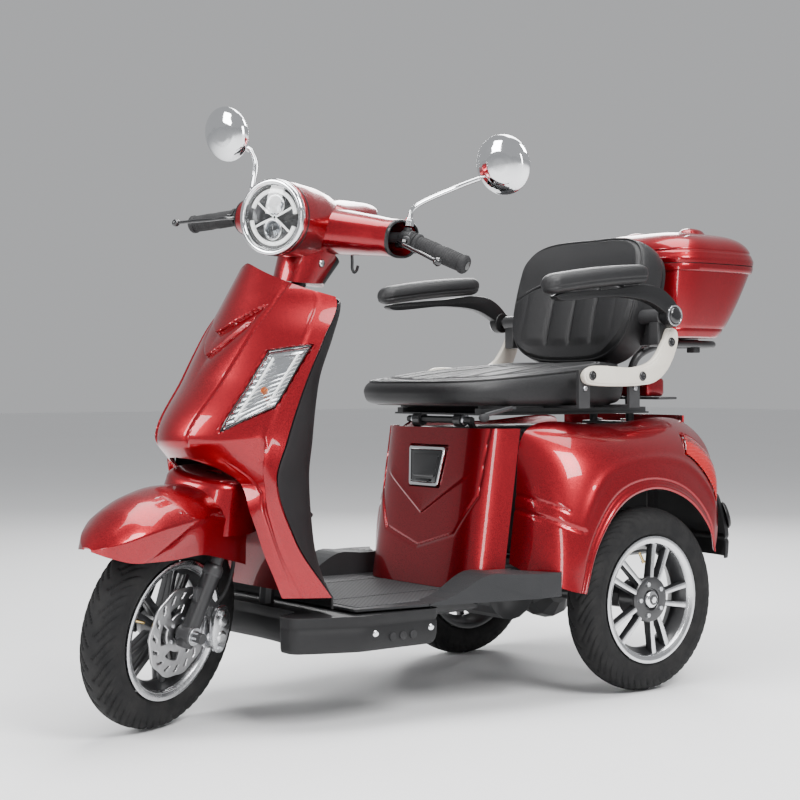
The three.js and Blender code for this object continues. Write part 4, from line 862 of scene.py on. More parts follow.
def scored(px, py, lines, width):
    """How strongly each place lies on a set of lines: one on a line, falling off over the width."""
    near = np.full(np.broadcast(px, py).shape, 1e6)
    for line in lines:
        for a, b in zip(line[:-1], line[1:]):
            near = np.minimum(near, line_distance(px, py, a, b))
    return soft_fall(near, width)


def within(px, py, corners, width):
    """One inside a polygon with no hollow corner, easing to nothing across its border."""
    c = np.asarray(corners, float)
    middle = c.mean(axis=0)
    depth = np.full(np.broadcast(px, py).shape, 1e6)
    for a, b in zip(c, np.roll(c, -1, 0)):
        n = np.array([b[1] - a[1], a[0] - b[0]])
        n = n / np.linalg.norm(n)
        n = n if n @ (middle - a) > 0 else -n
        depth = np.minimum(depth, (px - a[0]) * n[0] + (py - a[1]) * n[1])
    return ease(depth + width / 2, width)


# ---------- wheels
SIPES = 28


def tyre(centre):
    """A rounded tyre section swept round the axle; curved sipes run from near the middle to each shoulder."""
    outer = [(-32, 141.6), (-38.5, 150), (-41.6, 163), (-41.8, 175), (-39, 187), (-32, 196.5), (-19, 202.6),
        (0, 205)]
    outer = outer + [(-x, r) for x, r in outer[-2::-1]]
    inner = [(27, 143), (34, 168), (22, 186), (-22, 186), (-34, 168), (-27, 143)]
    profile = np.vstack([spline(outer, 58), spline(inner, 14)])
    count = SIPES * 18
    angle = turns(count)[:, None]
    x, r = profile[:, 0][None, :], profile[:, 1][None, :]
    tread = np.zeros(len(profile))
    tread[:58] = 1
    side = np.sign(x) * 0.25
    phase = SIPES * angle / (2 * np.pi) + 1.3 * (np.abs(x) / 40) ** 1.3 + side
    near = np.abs(phase - np.round(phase))
    groove = np.exp(-(near / 0.075) ** 2) * (np.abs(x) > 4) * (r > 174) * tread[None, :]
    short = np.abs(phase + 0.5 - np.round(phase + 0.5))
    groove = np.maximum(groove, np.exp(-(short / 0.06) ** 2) * (np.abs(x) > 17) * (r > 180) * tread[None, :]
        * 0.8)
    line = np.exp(-((r - 167) / 1.2) ** 2) * tread[None, :] * -0.8
    low = r - 4.6 * groove
    grid = xyz(x - np.sign(x) * line + 0 * angle, low * np.cos(angle),
        low * np.sin(angle)) + np.asarray(centre, float)
    return Shape(grid, quads(count, len(profile), True, True))


def barrel(centre, lip_tag=1):
    """The rim: bead seats, drop centre and flanges turned about the axle, with a bright outer lip."""
    c = np.asarray(centre, float)
    pairs = [(141, 0), (141, 3), (137, 4.5), (127, 5), (127, 24), (114, 32), (114, 42), (127, 50),
        (127, 69), (137, 69.5), (141, 71), (141, 74), (136, 74), (128, 70), (122, 62), (110, 42), (110, 32),
        (122, 12), (128, 3), (136, 0)]
    soft = rounded(pairs, 2.5, 3)
    shape = turned(soft, c - [RIM_HALF, 0, 0], c + [RIM_HALF, 0, 0], 108, True)
    lip = turned(rounded([(142, 70.5), (142, 75), (135, 75.2), (127, 71.5), (123, 64), (122.4, 64.5),
        (126, 71.5), (135, 73)], 1.0, 2), c - [RIM_HALF, 0, 0], c + [RIM_HALF, 0, 0], 108, True)
    return shape + lip.tagged(lip_tag)


def spoke(centre, angle, twin, hub_r, x0, x1):
    """One leg of a forked spoke: a six-sided section that widens and leans outward as it nears the rim."""
    t = np.linspace(0, 1, 15)
    radius = mix(hub_r - 6, 123.0, t)
    middle = twin * (9.5 + 13.5 * t ** 0.8)
    half = 6.2 + 1.6 * t ** 2
    face = x1 - 3.5 * np.sin(t * np.pi * 0.5) ** 2
    section = rounded([(-1, 0), (1, 0), (1.08, 0.72), (0.86, 1.0), (-0.86, 1.0), (-1.08, 0.72)], 0.22, 2)
    side = middle[:, None] + half[:, None] * section[None, :, 0]
    x = mix(x0, face[:, None], section[None, :, 1])
    c, s = math.cos(angle), math.sin(angle)
    rings = xyz(x, radius[:, None] * c - side * s, radius[:, None] * s + side * c) + np.asarray(centre, float)
    shape = loft(rings)
    around = rings.shape[1]
    high = (section[:, 1] + np.roll(section[:, 1], -1)) / 2 > 0.93
    shape.tags[:(len(t) - 1) * around] = np.tile(high.astype(int), len(t) - 1)
    return shape


def wheel_rim(centre, hub_r, x0, x1, mirror_face=False, bright=True):
    shape = barrel(centre)
    for k in range(5):
        for twin in (-1, 1):
            leg_shape = spoke(centre, k * 2 * np.pi / 5, twin, hub_r, x0, x1)
            shape = shape + (leg_shape if bright else leg_shape.tagged(0))
            if mirror_face:
                back = spoke((0, 0, 0), k * 2 * np.pi / 5, twin, hub_r, 0, x1)
                shape = shape + back.placed(lambda p: p * [-1, 1, 1] + np.asarray(centre, float)).tagged(0)
    return shape


def rear_wheel(side):
    name, put = sided(side)
    body = f"rear_wheel_{name}"
    centre = np.array([REAR_X, REAR_Y, AXLE_Z], float)
    rim = wheel_rim(centre, 44, 12, 33)
    hub = turned(rounded([(14, -30), (40, -30), (44, -24), (44, 20), (52, 24), (52, 31), (48, 34), (24, 35),
        (24, 30), (14, 30)], 2, 3), centre, centre + [1, 0, 0], 64, True)
    cap = turned(rounded([(0, 41), (12, 41), (18, 38), (20, 33), (20, 30), (0, 30)], 2, 3, False), centre,
        centre + [1, 0, 0], 48)
    nut = hexagon(centre + [40, 0, 0], centre + [44, 0, 0], 8)
    bolts = NOTHING
    for k in range(5):
        a = (k + 0.5) * 2 * np.pi / 5
        at = centre + np.array([33.0, 36 * math.cos(a), 36 * math.sin(a)])
        bolts += hexagon(at, at + [6, 0, 0], 5.5) + rod(at - [1, 0, 0], at + [1.2, 0, 0], 8, 20, 0.4)
    a = 2 * np.pi / 5 * 1.5
    out = np.array([0, math.cos(a), math.sin(a)])
    stem = centre + out * 112 + [30, 0, 0]
    valve = rod(stem, stem - out * 18 + [5, 0, 0], 3.2, 16, 0.6) + rod(stem - out * 18 + [5, 0, 0],
        stem - out * 24 + [6.6, 0, 0], 4.2, 12, 0.8)
    build(f"tyre_rear_{name}", put(tyre(centre)), TYRE, body, node=f"rear_tyre_{name}")
    build(f"rim_rear_{name}", put(rim), [WHEEL_BLACK, ALLOY], body, node=f"rear_rim_{name}")
    build(f"hub_rear_{name}", put(hub), WHEEL_BLACK, body)
    build(f"hub_cap_{name}", put(cap + nut), CHROME, body)
    build(f"wheel_bolts_{name}", put(bolts), ZINC, body)
    build(f"valve_{name}", put(valve), BRASS, body)


def front_wheel():
    centre = np.array([0, FRONT_Y, AXLE_Z], float)
    body = "front_wheel"
    rim = wheel_rim(centre, 36, 0, 16, True, False)
    hub = turned(rounded([(13, -40), (26, -40), (30, -30), (34, -22), (34, 22), (30, 30), (34, 38),
        (34, 43.5), (13, 43.5)], 2, 3), centre, centre + [1, 0, 0], 56, True)
    steered_piece("tyre_front", tyre(centre), TYRE, body, node="front_tyre")
    steered_piece("rim_front", rim + hub, [WHEEL_BLACK, ALLOY], body, node="front_rim")
    # the disc: a ring with slots, five arms and a carrier; faces inside a slot are left out
    u, w = spread(361, 31)
    angle = u * 2 * np.pi
    radius = mix(18.0, 90.0, w)
    wave = 1 + 0.018 * np.cos(angle * 10) * (w > 0.9)
    grid = xyz(47.0 + 0 * u, FRONT_Y + radius * wave * np.cos(angle), AXLE_Z + radius * wave * np.sin(angle))
    mid_a, mid_r = angle[:-1, :-1] + np.pi / 360, radius[:-1, :-1] + 1.2
    turn5 = (mid_a * 5 / (2 * np.pi) + (mid_r - 50) * 0.006) % 1
    window = (mid_r > 40) & (mid_r < 57) & (np.abs(turn5 - 0.5) < 0.30)
    turn20 = (mid_a * 16 / (2 * np.pi) + (mid_r - 60) * 0.03) % 1
    slot = (mid_r > 68) & (mid_r < 81) & (np.abs(turn20 - 0.5) < 0.13)
    disc = pierced("brake_rotor", steered(grid), ~(window | slot), 4.0, DISC, body)
    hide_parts("brake_disc")
    bolts = NOTHING
    for k in range(5):
        a = k * 2 * np.pi / 5
        at = np.array([44.0, FRONT_Y + 27 * math.cos(a), AXLE_Z + 27 * math.sin(a)])
        bolts += hexagon(at, at + [8, 0, 0], 4)
    steered_piece("rotor_bolts", bolts, ZINC, body)
    a = 2 * np.pi * 0.45
    out = np.array([0, math.cos(a), math.sin(a)])
    stem = centre + out * 112 + [20, 0, 0]
    steered_piece("valve_front", rod(stem, stem - out * 22 + [7, 0, 0], 3.4, 16, 0.6), BRASS, body)


rear_wheel(1)
rear_wheel(-1)
front_wheel()


# ---------- fork and front fender
def leg(s, side):
    return np.array([side * FORK_HALF, FRONT_Y, AXLE_Z], float) + HEAD * s


def fork():
    lower = NOTHING
    for side in (-1, 1):
        a, b = leg(-26, side), leg(150, side)
        slider = turned(rounded([(0, 0), (15, 0), (18, 6), (18, 150), (20, 152), (20, 166), (17, 172),
            (14, 174), (14, 160), (0, 160)], 2, 3, False), a, b, 40)
        lug = rod(leg(0, side) - [16, 0, 0], leg(0, side) + [16, 0, 0], 21, 36, 2)
        lower += slider + lug
    axle = rod((-108, FRONT_Y, AXLE_Z), (108, FRONT_Y, AXLE_Z), 11, 24)
    tab = side_plate(rounded([fore(4, 96), fore(26, 92), fore(102, 34), fore(102, -30), fore(82, -34),
        fore(64, 24), fore(10, 62)], 10, 4), 65, 75, 1.0)
    steered_piece("fork_legs", lower + axle + tab, COATED, "fork_lower", node="fork_sliders")
    nuts = NOTHING
    for side in (-1, 1):
        a, b = side * 88, side * 99
        nut = hexagon((a, FRONT_Y, AXLE_Z), (b, FRONT_Y, AXLE_Z), 12)
        washer = rod((side * 86, FRONT_Y, AXLE_Z), (side * 88.4, FRONT_Y, AXLE_Z), 18, 28, 0.5)
        nuts += nut + washer
    steered_piece("axle_nuts", nuts, ZINC, "fork_lower")
    upper = rod(on_head(CROWN_S, 0, -FORK_HALF - 10), on_head(CROWN_S, 0, FORK_HALF + 10), 17, 32, 3)
    for side in (-1, 1):
        upper = upper + rod(leg(60, side), leg(320, side), 13, 32)
    upper = upper + rod(on_head(CROWN_S), on_head(852), 16, 32)
    upper = upper + rod(on_head(CROWN_S - 4, 10), spot(0, 40, 254), 10, 16)
    steered_piece("fork_top", upper, COATED, node="fork_crown")


def caliper():
    outline = spline([fore(68, 34), fore(100, 30), fore(112, 0), fore(98, -44), fore(66, -36), fore(58, 0)],
        48, True)
    shape = side_plate(outline, 51.5, 64, 2.0) + side_plate(outline, 36, 42.5, 1.5)
    bridge = side_plate(rounded([fore(95, 24), fore(108, 14), fore(108, -20), fore(96, -38),
        fore(94.5, -10)], 3, 3), 38, 62, 1.0)
    pistons = NOTHING
    for z in (14, -18):
        a = np.array([62.0, ahead(84), AXLE_Z + z])
        dome = turned(rounded([(0, 7), (8, 7), (12, 4), (13, 0), (0, 0)], 2, 3, False), a, a + [1, 0, 0], 36)
        pistons += dome
    outer = spline([fore(60, 22), fore(70, 46), fore(94, 48), fore(112, 20), fore(110, -20), fore(98, -48),
        fore(78, -46), fore(66, -22)], 64, True)
    cheek = side_plate(outer, 75.4, 87, 3.0)
    for z in (18, -16):
        a = np.array([86.0, ahead(88), AXLE_Z + z])
        cheek = cheek + turned(rounded([(0, 5), (9, 5), (13, 3), (14, 0), (0, 0)], 1.5, 3, False), a,
            a + [1, 0, 0], 36)
    cheek = cheek + rod((60, ahead(104), AXLE_Z), (82, ahead(104), AXLE_Z), 8, 20)
    steered_piece("caliper_body", shape + bridge + pistons + cheek, ALLOY, "fork_lower",
        node="brake_caliper")
    bolts = NOTHING
    for y, z in ((76, 36), (84, -38)):
        at = np.array([86.0, ahead(y), AXLE_Z + z])
        bolts += hexagon(at, at + [8, 0, 0], 6)
    banjo = rod(spot(55, 92, 27), spot(55, 92, 40), 7, 20)
    steered_piece("caliper_bolts", bolts + banjo, ZINC, "fork_lower")
    line = hose([spot(55, 92, 36), spot(59, 122, 66), spot(61, 136, 122), spot(59, 126, 172),
        spot(57, 118, 200)], 4, 48, 14)
    steered_piece("brake_line", line, RUBBER, "fork_lower", node="brake_hose")


FENDER_TOP = [(-242, 190), (-222, 209), (-200, 227), (-160, 253), (-100, 275), (-30, 285), (40, 284),
    (132, 262)]
FENDER_HALF = [(-242, 11), (-232, 26), (-218, 42), (-200, 56), (-160, 76), (-100, 89), (0, 97), (132, 97)]
FENDER_HEM = [(-242, 184), (-222, 176), (-180, 167), (-100, 166), (-23, 169), (40, 156), (132, 130)]


RIDGE = 0.62


def front_fender():
    """Across the fender the height falls as a power of the distance to a ridge, then drops to the hem."""
    u, w = spread(97, 121)
    d = mix(-242.0, 132.0, w)
    top, half, hem = through(FENDER_TOP, d), through(FENDER_HALF, d), through(FENDER_HEM, d)
    across = 2 * u - 1
    far, side = np.abs(across), np.sign(across)
    ridge_z = mix(hem, top, RIDGE)
    t = np.clip(far / RIDGE, 0, 1)
    q = np.clip((far - RIDGE) / (1 - RIDGE), 0, 1)
    x = side * half * np.where(far < RIDGE, 0.93 * t, mix(0.93, 1.0, q))
    z = np.where(far < RIDGE, mix(top, ridge_z, t ** 2.4), mix(ridge_z, hem, q))
    crest = np.interp(d, [-176, -120, -60, 20, 100, 132], [1.02, 0.84, 0.69, 0.56, 0.50, 0.49])
    fold = (1 - np.exp(-np.clip((far - crest) / 0.09, 0, None))) * np.exp(-np.clip(far - crest, 0,
        None) / 0.45)
    x = x - side * 8.0 * fold
    z = z - 3.0 * fold * np.clip((0.94 - far) / 0.1, 0, 1)
    shell = skin(xyz(x, ahead(d), AXLE_Z + z), PANEL, (0, ahead(0), AXLE_Z))
    # the hump over the fork crown: soft-cornered rings that close in to a rounded top, open below
    v, a = spread(30, 97)
    rise = np.minimum(v / 0.6, 1)
    turn_in = np.clip((v - 0.6) / 0.3, 0, 1) * np.pi / 2
    pull = 26 * (1 - np.cos(turn_in)) + 48 * np.clip((v - 0.9) / 0.1, 0, 1)
    px, py = squircle(a, mix(100, 92, rise) - pull, mix(97, 82, rise) - pull * 0.9, 2.5)
    base = mix(196.0, 282.0, rise) + 20 * np.sin(turn_in)
    dd = mix(108, 118, rise) + py
    tilt = rise * np.where(dd > 60, 4.0, -12.0) * np.clip(np.abs(dd - 60) / 60, 0, 1)
    hump = thicken(xyz(px, ahead(dd), AXLE_Z + np.minimum(base + tilt, 304)), PANEL, spot(0, 118, 190))
    steered_piece("fender_front", shell + hump, RED, node="front_fender")


fork()
caliper()
front_fender()


# ---------- handlebar and head
def bar_point(x):
    return np.array([x, BAR_Y, BAR_Z + (350 - abs(x)) * 0.245])


def handlebar():
    middle = on_head(876)
    half = [bar_point(352), bar_point(280), bar_point(212), bar_point(204),
        np.array([110.0, BAR_Y - 8, BAR_Z + 26]), np.array([34.0, middle[1], middle[2]])]
    path = half + [p * [-1, 1, 1] for p in half[::-1]]
    bar = hose(path, 10.8, 150, 20)
    clamp = rod(on_head(822), on_head(894), 25, 36, 3)
    perch = NOTHING
    for side in (-1, 1):
        at = bar_point(side * 210)
        collar = turned(rounded([(11, 0), (18, 0), (18, 24), (11, 24)], 2, 3), at - [side * 12, 0, 0],
            at + [side * 12, 0, 0], 32, True)
        arm = rod(at, (side * 222, at[1] - 26, at[2] - 2), 9, 20, 2)
        boss = rod((side * 207, at[1], at[2] + 8), (side * 207, at[1] + 2, at[2] + 24), 9, 20, 2)
        perch += collar + arm + boss
    steered_piece("steering_bar", bar + clamp + perch, COATED, node="handlebar")


def grip(side, name, body, node):
    """A grip turned about the bar: a flange, a ribbed waist and a rounded end cap."""
    a, b = bar_point(side * 232), bar_point(side * 352)
    length = float(np.linalg.norm(b - a))
    s = np.linspace(9, length - 9, 150)
    ribs = 17.2 + 0.8 * np.sin(s / length * np.pi) + 0.7 * (np.sin(s * 1.15) > 0) * (np.abs(s - 62) > 8)
    pairs = [(11.2, 0), (20, 0), (21, 1.5), (21, 5.5), (20, 7), (17.5, 8.5)]
    pairs += list(zip(ribs, s))
    pairs += [(18.5, length - 8), (20, length - 6), (20, length), (17, length + 4), (10, length + 6.2),
        (0, length + 6.2), (0, length + 1), (11.2, length + 1)]
    shape = turned(pairs, a, b, 56, True)
    steered_piece(name, shape, RUBBER, body, node=node)
    cap = turned([(0, length + 6), (8, length + 6), (9, length + 7.4), (0, length + 8.4)], a, b, 40)
    steered_piece(f"{name}_cap", cap, GLOSS, body)


def collars():
    """Ribbed sleeves between the cover and each grip."""
    s = np.linspace(0, 24, 49)
    outer = list(zip(17.5 + 2.4 * np.abs(np.sin(s * np.pi / 6)), s))
    shape = NOTHING
    for side in (-1, 1):
        a, b = bar_point(side * 206), bar_point(side * 300)
        shape += turned([(11.4, 0)] + outer + [(11.4, 24)], a, b, 40, True)
    steered_piece("bar_sleeves", shape, RUBBER)
    switch = block(-206, -176, BAR_Y + 4, BAR_Y + 34, BAR_Z + 14, BAR_Z + 44, 4, 6)
    switch = switch + block(176, 206, BAR_Y + 4, BAR_Y + 34, BAR_Z + 14, BAR_Z + 44, 4, 6)
    steered_piece("switch_boxes", switch, BLACK_FINE)
    keys = block(-198, -184, BAR_Y + 32, BAR_Y + 38, BAR_Z + 30, BAR_Z + 38, 1.5, 2)
    keys = keys + block(184, 198, BAR_Y + 32, BAR_Y + 38, BAR_Z + 30, BAR_Z + 38, 1.5, 2)
    keys = keys + block(184, 198, BAR_Y + 32, BAR_Y + 37, BAR_Z + 19, BAR_Z + 26, 1.5, 2)
    build("switch_keys", on_steering(keys), tinted_plastic("red switch", (0.4, 0.01, 0.01),
        (0.55, 0.03, 0.02), 0, 0.0), "steering_assembly")


def lever(side, name, body, node):
    """A flat blade carried from the pivot to a ball end, curving ahead of the grip."""
    x, y, z = 226.0, BAR_Y - 40, BAR_Z + 26
    tip = np.array([335.0, ahead(324), AXLE_Z + 781])
    path = spline([(x - 8, y + 6, z + 2), (x + 6, y - 8, z - 1.5), (x + 34, y - 18, z - 8.5),
        (x + 74, y - 32, z - 17.5), tip], 46)
    t = np.linspace(0, 1, 46)
    width = 7.5 - 3.0 * t + 3.5 * np.exp(-(t / 0.12) ** 2)
    angle = turns(20)
    along = unit(np.gradient(path, axis=0))
    flat = unit(np.cross(along, [0, 0, 1.0]))
    up = np.cross(flat, along)
    c = np.sign(np.cos(angle)) * np.abs(np.cos(angle)) ** 0.6
    s = np.sign(np.sin(angle)) * np.abs(np.sin(angle)) ** 0.6
    rings = (path[:, None] + flat[:, None] * (c[None] * width[:, None])[..., None]
        + up[:, None] * (s * 3.6)[None, :, None])
    shape = loft(rings) + ball(tip, 9, 28) + hexagon((x, y, z + 3), (x, y, z + 8), 7)
    shape = shape if side > 0 else shape.mirrored()
    steered_piece(name, shape, GLOSS, body, node=node)


COVER_HALF = 196
POD_FRONT = ahead(208)
POD_Z = AXLE_Z + 826


def cover_rings(u, x, shrink):
    """Rounded boxes along the bar that narrow from the middle to each flared end."""
    far = np.abs(x) / COVER_HALF
    y = ahead(mix(385, 412, far ** 1.5))
    z = AXLE_Z + mix(810, 814, far)
    a, b = squircle(u, mix(96, 60, far ** 1.3) + 4 * soft_fall(far - 1, 0.1) - shrink,
        mix(54, 37, far) + 3 * soft_fall(far - 1, 0.1) - shrink, 2.5)
    return xyz(x, y + a, z + b)


def head_cover():
    """The hollow wings, the lamp pod, the instrument hood and the neck, joined as one red moulding."""
    v, u = spread(72, 80)
    u = u * 79 / 80
    outer = cover_rings(u, mix(-COVER_HALF, COVER_HALF, v), 0)
    inner = cover_rings(u, mix(COVER_HALF - 0.5, -COVER_HALF + 0.5, v), 4)
    rings = np.vstack([outer, inner])
    wings = Shape(rings, quads(rings.shape[0], rings.shape[1], True, True))
    pod = turned(rounded([(69, 13.6), (76, 13.6), (78, 17), (77.5, 60), (74, 120), (66, 168), (50, 178),
        (40, 178), (40, 170), (60, 160), (69, 120), (72, 60)], 6, 4), (0, POD_FRONT, POD_Z),
        (0, POD_FRONT + 172, POD_Z - 6), 96, True)
    v, u = spread(40, 72)
    u = u * 71 / 72
    swell = np.sqrt(np.clip(1 - ((v - 0.5) / 0.5) ** 6, 0, 1)) * 0.22 + 0.78
    a, b = squircle(u, mix(84, 66, v) * swell, mix(46, 33, v) * swell, 3.2)
    hood = loft(xyz(a, ahead(mix(352, 520, v)), AXLE_Z + mix(824, 846, v) + b))
    hood.points[:, 1] += (14 * np.clip((hood.points[:, 2] - (AXLE_Z + 846)) / 30, -1, 1)
        * (hood.points[:, 1] > ahead(500)))
    v, u = spread(24, 72)
    u = u * 71 / 72
    a, b = squircle(u, mix(50, 60, v), mix(52, 70, v), 2.3)
    s = mix(780.0, 842.0, v) - 36 * (1 - v) * np.clip((b + 22) / 74, 0, 1)
    neck = loft(HEAD_BASE + s[..., None] * HEAD + (b + 4)[..., None] * AHEAD + a[..., None]
        * np.array([1.0, 0, 0]))
    rear = (neck.points[[f[0] for f in neck.faces]] - HEAD_BASE) @ AHEAD < -14
    neck.tags = rear.astype(int)
    steered_piece("head_cover", wings + pod + hood + neck, [RED, BLACK_FINE],
        node="handlebar_cover")
    bolt_at = on_head(808, 24, 52)
    bolt = turned(rounded([(0, 5), (7, 5), (9, 3), (9, 0), (0, 0)], 1, 3, False), bolt_at,
        bolt_at + [1, 0, 0.1], 28)
    steered_piece("neck_bolt", bolt, CHROME)
    hook = hose([spot(56, 440, 776), spot(56, 448, 750), spot(56, 452, 734), spot(56, 461, 727),
        spot(56, 470, 732), spot(56, 473, 742)], 3.2, 40)
    steered_piece("bag_hook", hook, COATED)
    bezel = plate(rounded([(-50, -22), (50, -22), (44, 24), (-44, 24)], 10, 6), (1, 0, 0), (0, 0.34, 0.94),
        -2, 3.5, 1.4, (0, 0.94, -0.34))
    window = plate(rounded([(-40, -16), (40, -16), (36, 18), (-36, 18)], 6, 6), (1, 0, 0), (0, 0.34, 0.94),
        3, 4.4, 0.5, (0, 0.94, -0.34))
    at = np.array([0, ahead(524), AXLE_Z + 847])
    move = lambda p: p + at
    steered_piece("display_bezel", bezel.placed(move), GLOSS)
    steered_piece("display_window", window.placed(move), DISPLAY)


def cover_seams():
    """Black trim bands round each flared end of the cover, and a fine seam over the pod."""
    u = np.linspace(0, 1, 96, endpoint=False)
    shape = NOTHING
    for side in (-1, 1):
        rings = []
        for x, shrink in ((COVER_HALF - 1, 5.5), (COVER_HALF + 1.5, 4.5), (COVER_HALF + 2, 1.5),
                (COVER_HALF - 0.2, -0.4), (COVER_HALF - 4, -0.5), (COVER_HALF - 4.5, 5)):
            rings.append(cover_rings(u, np.full_like(u, side * x), shrink))
        rings = np.array(rings)
        shape += Shape(rings, quads(len(rings), 96, True, True))
    steered_piece("cover_end_trim", shape, BLACK_FINE)
    band = turned(rounded([(77.6, 24), (78.4, 24), (78.4, 28), (77.6, 28)], 0.4, 2), (0, POD_FRONT, POD_Z),
        (0, POD_FRONT + 172, POD_Z - 6), 96, True)
    steered_piece("pod_band", band, BLACK_FINE)


def headlight():
    """A chrome ring and clear dome over a dark bowl with two projectors, a cross of guides and two arcs."""
    face = np.array([0, POD_FRONT, POD_Z])
    back = face + [0, 1, 0]
    ring = turned(rounded([(66, 6), (67, 2), (71, -0.5), (76, 0), (79, 4), (79, 13), (66, 13)], 2.5, 5),
        face, back, 128, True)
    steered_piece("lamp_ring", ring, CHROME, node="headlight_ring")
    r = np.linspace(0, 66.6, 34)
    dome = 9.5 * (r / 66.6) ** 2.2 - 3
    outer = list(zip(r, dome))
    inner = list(zip(r[::-1], dome[::-1] + 2))
    lens = turned(outer + [(66.6, 9.5)] + inner, face, back, 128)
    steered_piece("lamp_lens", lens, CLEAR, node="headlight_lens")
    bowl = turned(rounded([(67, 12), (60, 20), (44, 30), (0, 34), (0, 38), (46, 36), (66, 22), (68, 14)], 3,
        4, False), face, back, 96)
    steered_piece("lamp_bowl", bowl, GLOSS)
    rims, glass = NOTHING, NOTHING
    for z in (25, -25):
        at = face + [0, 0, z]
        rim = turned(rounded([(17, 14), (20, 11), (22.5, 14), (22.5, 32), (17, 32)], 1.2, 3), at,
            at + [0, 1, 0], 56, True)
        bulb = turned(list(zip(np.linspace(0, 17.4, 14), 12 + 9 * (np.linspace(0, 1, 14)) ** 2))
            + [(17.4, 26), (0, 26)], at, at + [0, 1, 0], 56)
        rims += rim
        glass += bulb
    steered_piece("lamp_projector_rims", rims, REFLECTOR)
    build("lamp_projectors", on_steering(glass), clear_plastic("projector glass", (0.80, 0.84, 0.88), 0.05),
        "steering_assembly")
    guides = NOTHING
    for half in (-1, 1):
        for side in (-1, 1):
            guides += hose([face + [side * 3, 16, half * 2], face + [side * 22, 13, half * 12],
                face + [side * 41, 12, half * 24]], 2.1, 12, 12)
        angle = np.radians(90 * half + np.linspace(-76, 76, 72))
        arc = face + np.stack([54 * np.cos(angle), 12 + 0 * angle, 54 * np.sin(angle)], -1)
        guides = guides + tube(arc, 4.2, 14)
    steered_piece("lamp_guides", guides, WARM)


def key_switch():
    at = np.array([112.0, ahead(484), AXLE_Z + 812])
    barrel_part = turned(rounded([(0, 0), (13, 0), (13, 7), (11, 9), (4, 9), (3, 7), (0, 7)], 1, 3, False),
        at, at + [0, 1, 0], 40)
    bow = side_plate(rounded([(8, -10), (30, -10), (34, 0), (30, 10), (8, 10)], 5, 5), -1.6, 1.6, 0.6)
    steered_piece("key", barrel_part + bow.placed(lambda p: p + at), CHROME, "key",
        node="key_switch")


def mirror(side, name):
    """A round dish on a bent stem: domed bright back, rolled rim, and glass that faces the rider."""
    joint = np.array([312.0, ahead(515), AXLE_Z + 968])
    neck_to = np.array([322.0, ahead(505), AXLE_Z + 975])
    d = unit(neck_to - joint)
    foot = np.array([207.0, BAR_Y + 2, BAR_Z + 62])
    stem = hose([foot, foot + [0, 2, 16], foot + [2, 6, 36], spot(262, 490, 934), joint - d * 13], 5, 60, 18)
    nut = hexagon(foot - [0, 1, 0], foot + [0, 0, 12], 11) + rod(foot + [0, 0, 12], foot + [0, 0.4, 17], 7,
        24)
    knuckle = rod(joint - d * 15, joint - d * 0.5, 6.2, 28, 1.5)
    a = np.array([360.0, ahead(482), AXLE_Z + 989])
    b = np.array([360.0, ahead(504), AXLE_Z + 993])
    profile = [(0, 0.2), (16, 0.6), (30, 2), (42, 5), (52, 9), (59, 14), (62.4, 18), (62.6, 20.6),
        (61.4, 22.2), (58.8, 22), (58.4, 20), (0, 20)]
    dish = turned(rounded(profile, 3, 4, False), a, b, 96) + rod(joint, neck_to + d * 6, 6, 28, 1.2)
    glass = turned([(0, 20.2), (58.2, 20.2), (58.2, 21.2), (0, 21.4)], a, b, 96)
    put = sided(side)[1]
    steered_piece(f"mirror_arm_{name}", put(stem + nut + knuckle), CHROME, f"mirror_arm_{name}",
        node=f"mirror_stem_{name}")
    steered_piece(f"mirror_back_{name}", put(dish), CHROME, f"mirror_{name}",
        node=f"mirror_head_{name}")
    steered_piece(f"mirror_glass_{name}", put(glass), MIRROR, f"mirror_{name}")


handlebar()
grip(1, "handgrip_left", "steering_assembly", "grip_left")
grip(-1, "handgrip_right", "throttle", "throttle_grip")
collars()
lever(1, "lever_blade_left", "lever_left", "brake_lever_left")
lever(-1, "lever_blade_right", "lever_right", "brake_lever_right")
head_cover()
cover_seams()
headlight()
key_switch()
mirror(1, "left")
mirror(-1, "right")


# ---------- front shield and leg shield
SHIELD_FOOT = 264
SHIELD_CENTRE = [(935, 210), (862, 171), (783, 128), (700, 84), (575, 17), (538, 36), (484, 84), (264, 44)]
SHIELD_HALF = [(935, 102), (895, 140), (862, 170), (783, 200), (690, 208), (575, 212), (499, 206),
    (380, 212), (264, 232)]
SHIELD_EDGE = [(935, 290), (862, 312), (783, 264), (690, 212), (575, 164), (499, 143), (380, 182), (264, 257)]
LENS_CORNERS = [(0.66, 752), (0.95, 764), (0.88, 640), (0.56, 590)]
INSIDE_SHIELD = (0, ahead(420), 600)


def shield_point(t, z):
    """Across the shield the surface falls back from its middle as t to the power 1.9, by tables of height."""
    half = through(SHIELD_HALF, z)
    back = mix(through(SHIELD_CENTRE, z), through(SHIELD_EDGE, z), np.abs(t) ** 1.9)
    return xyz(t * half, ahead(back), z)


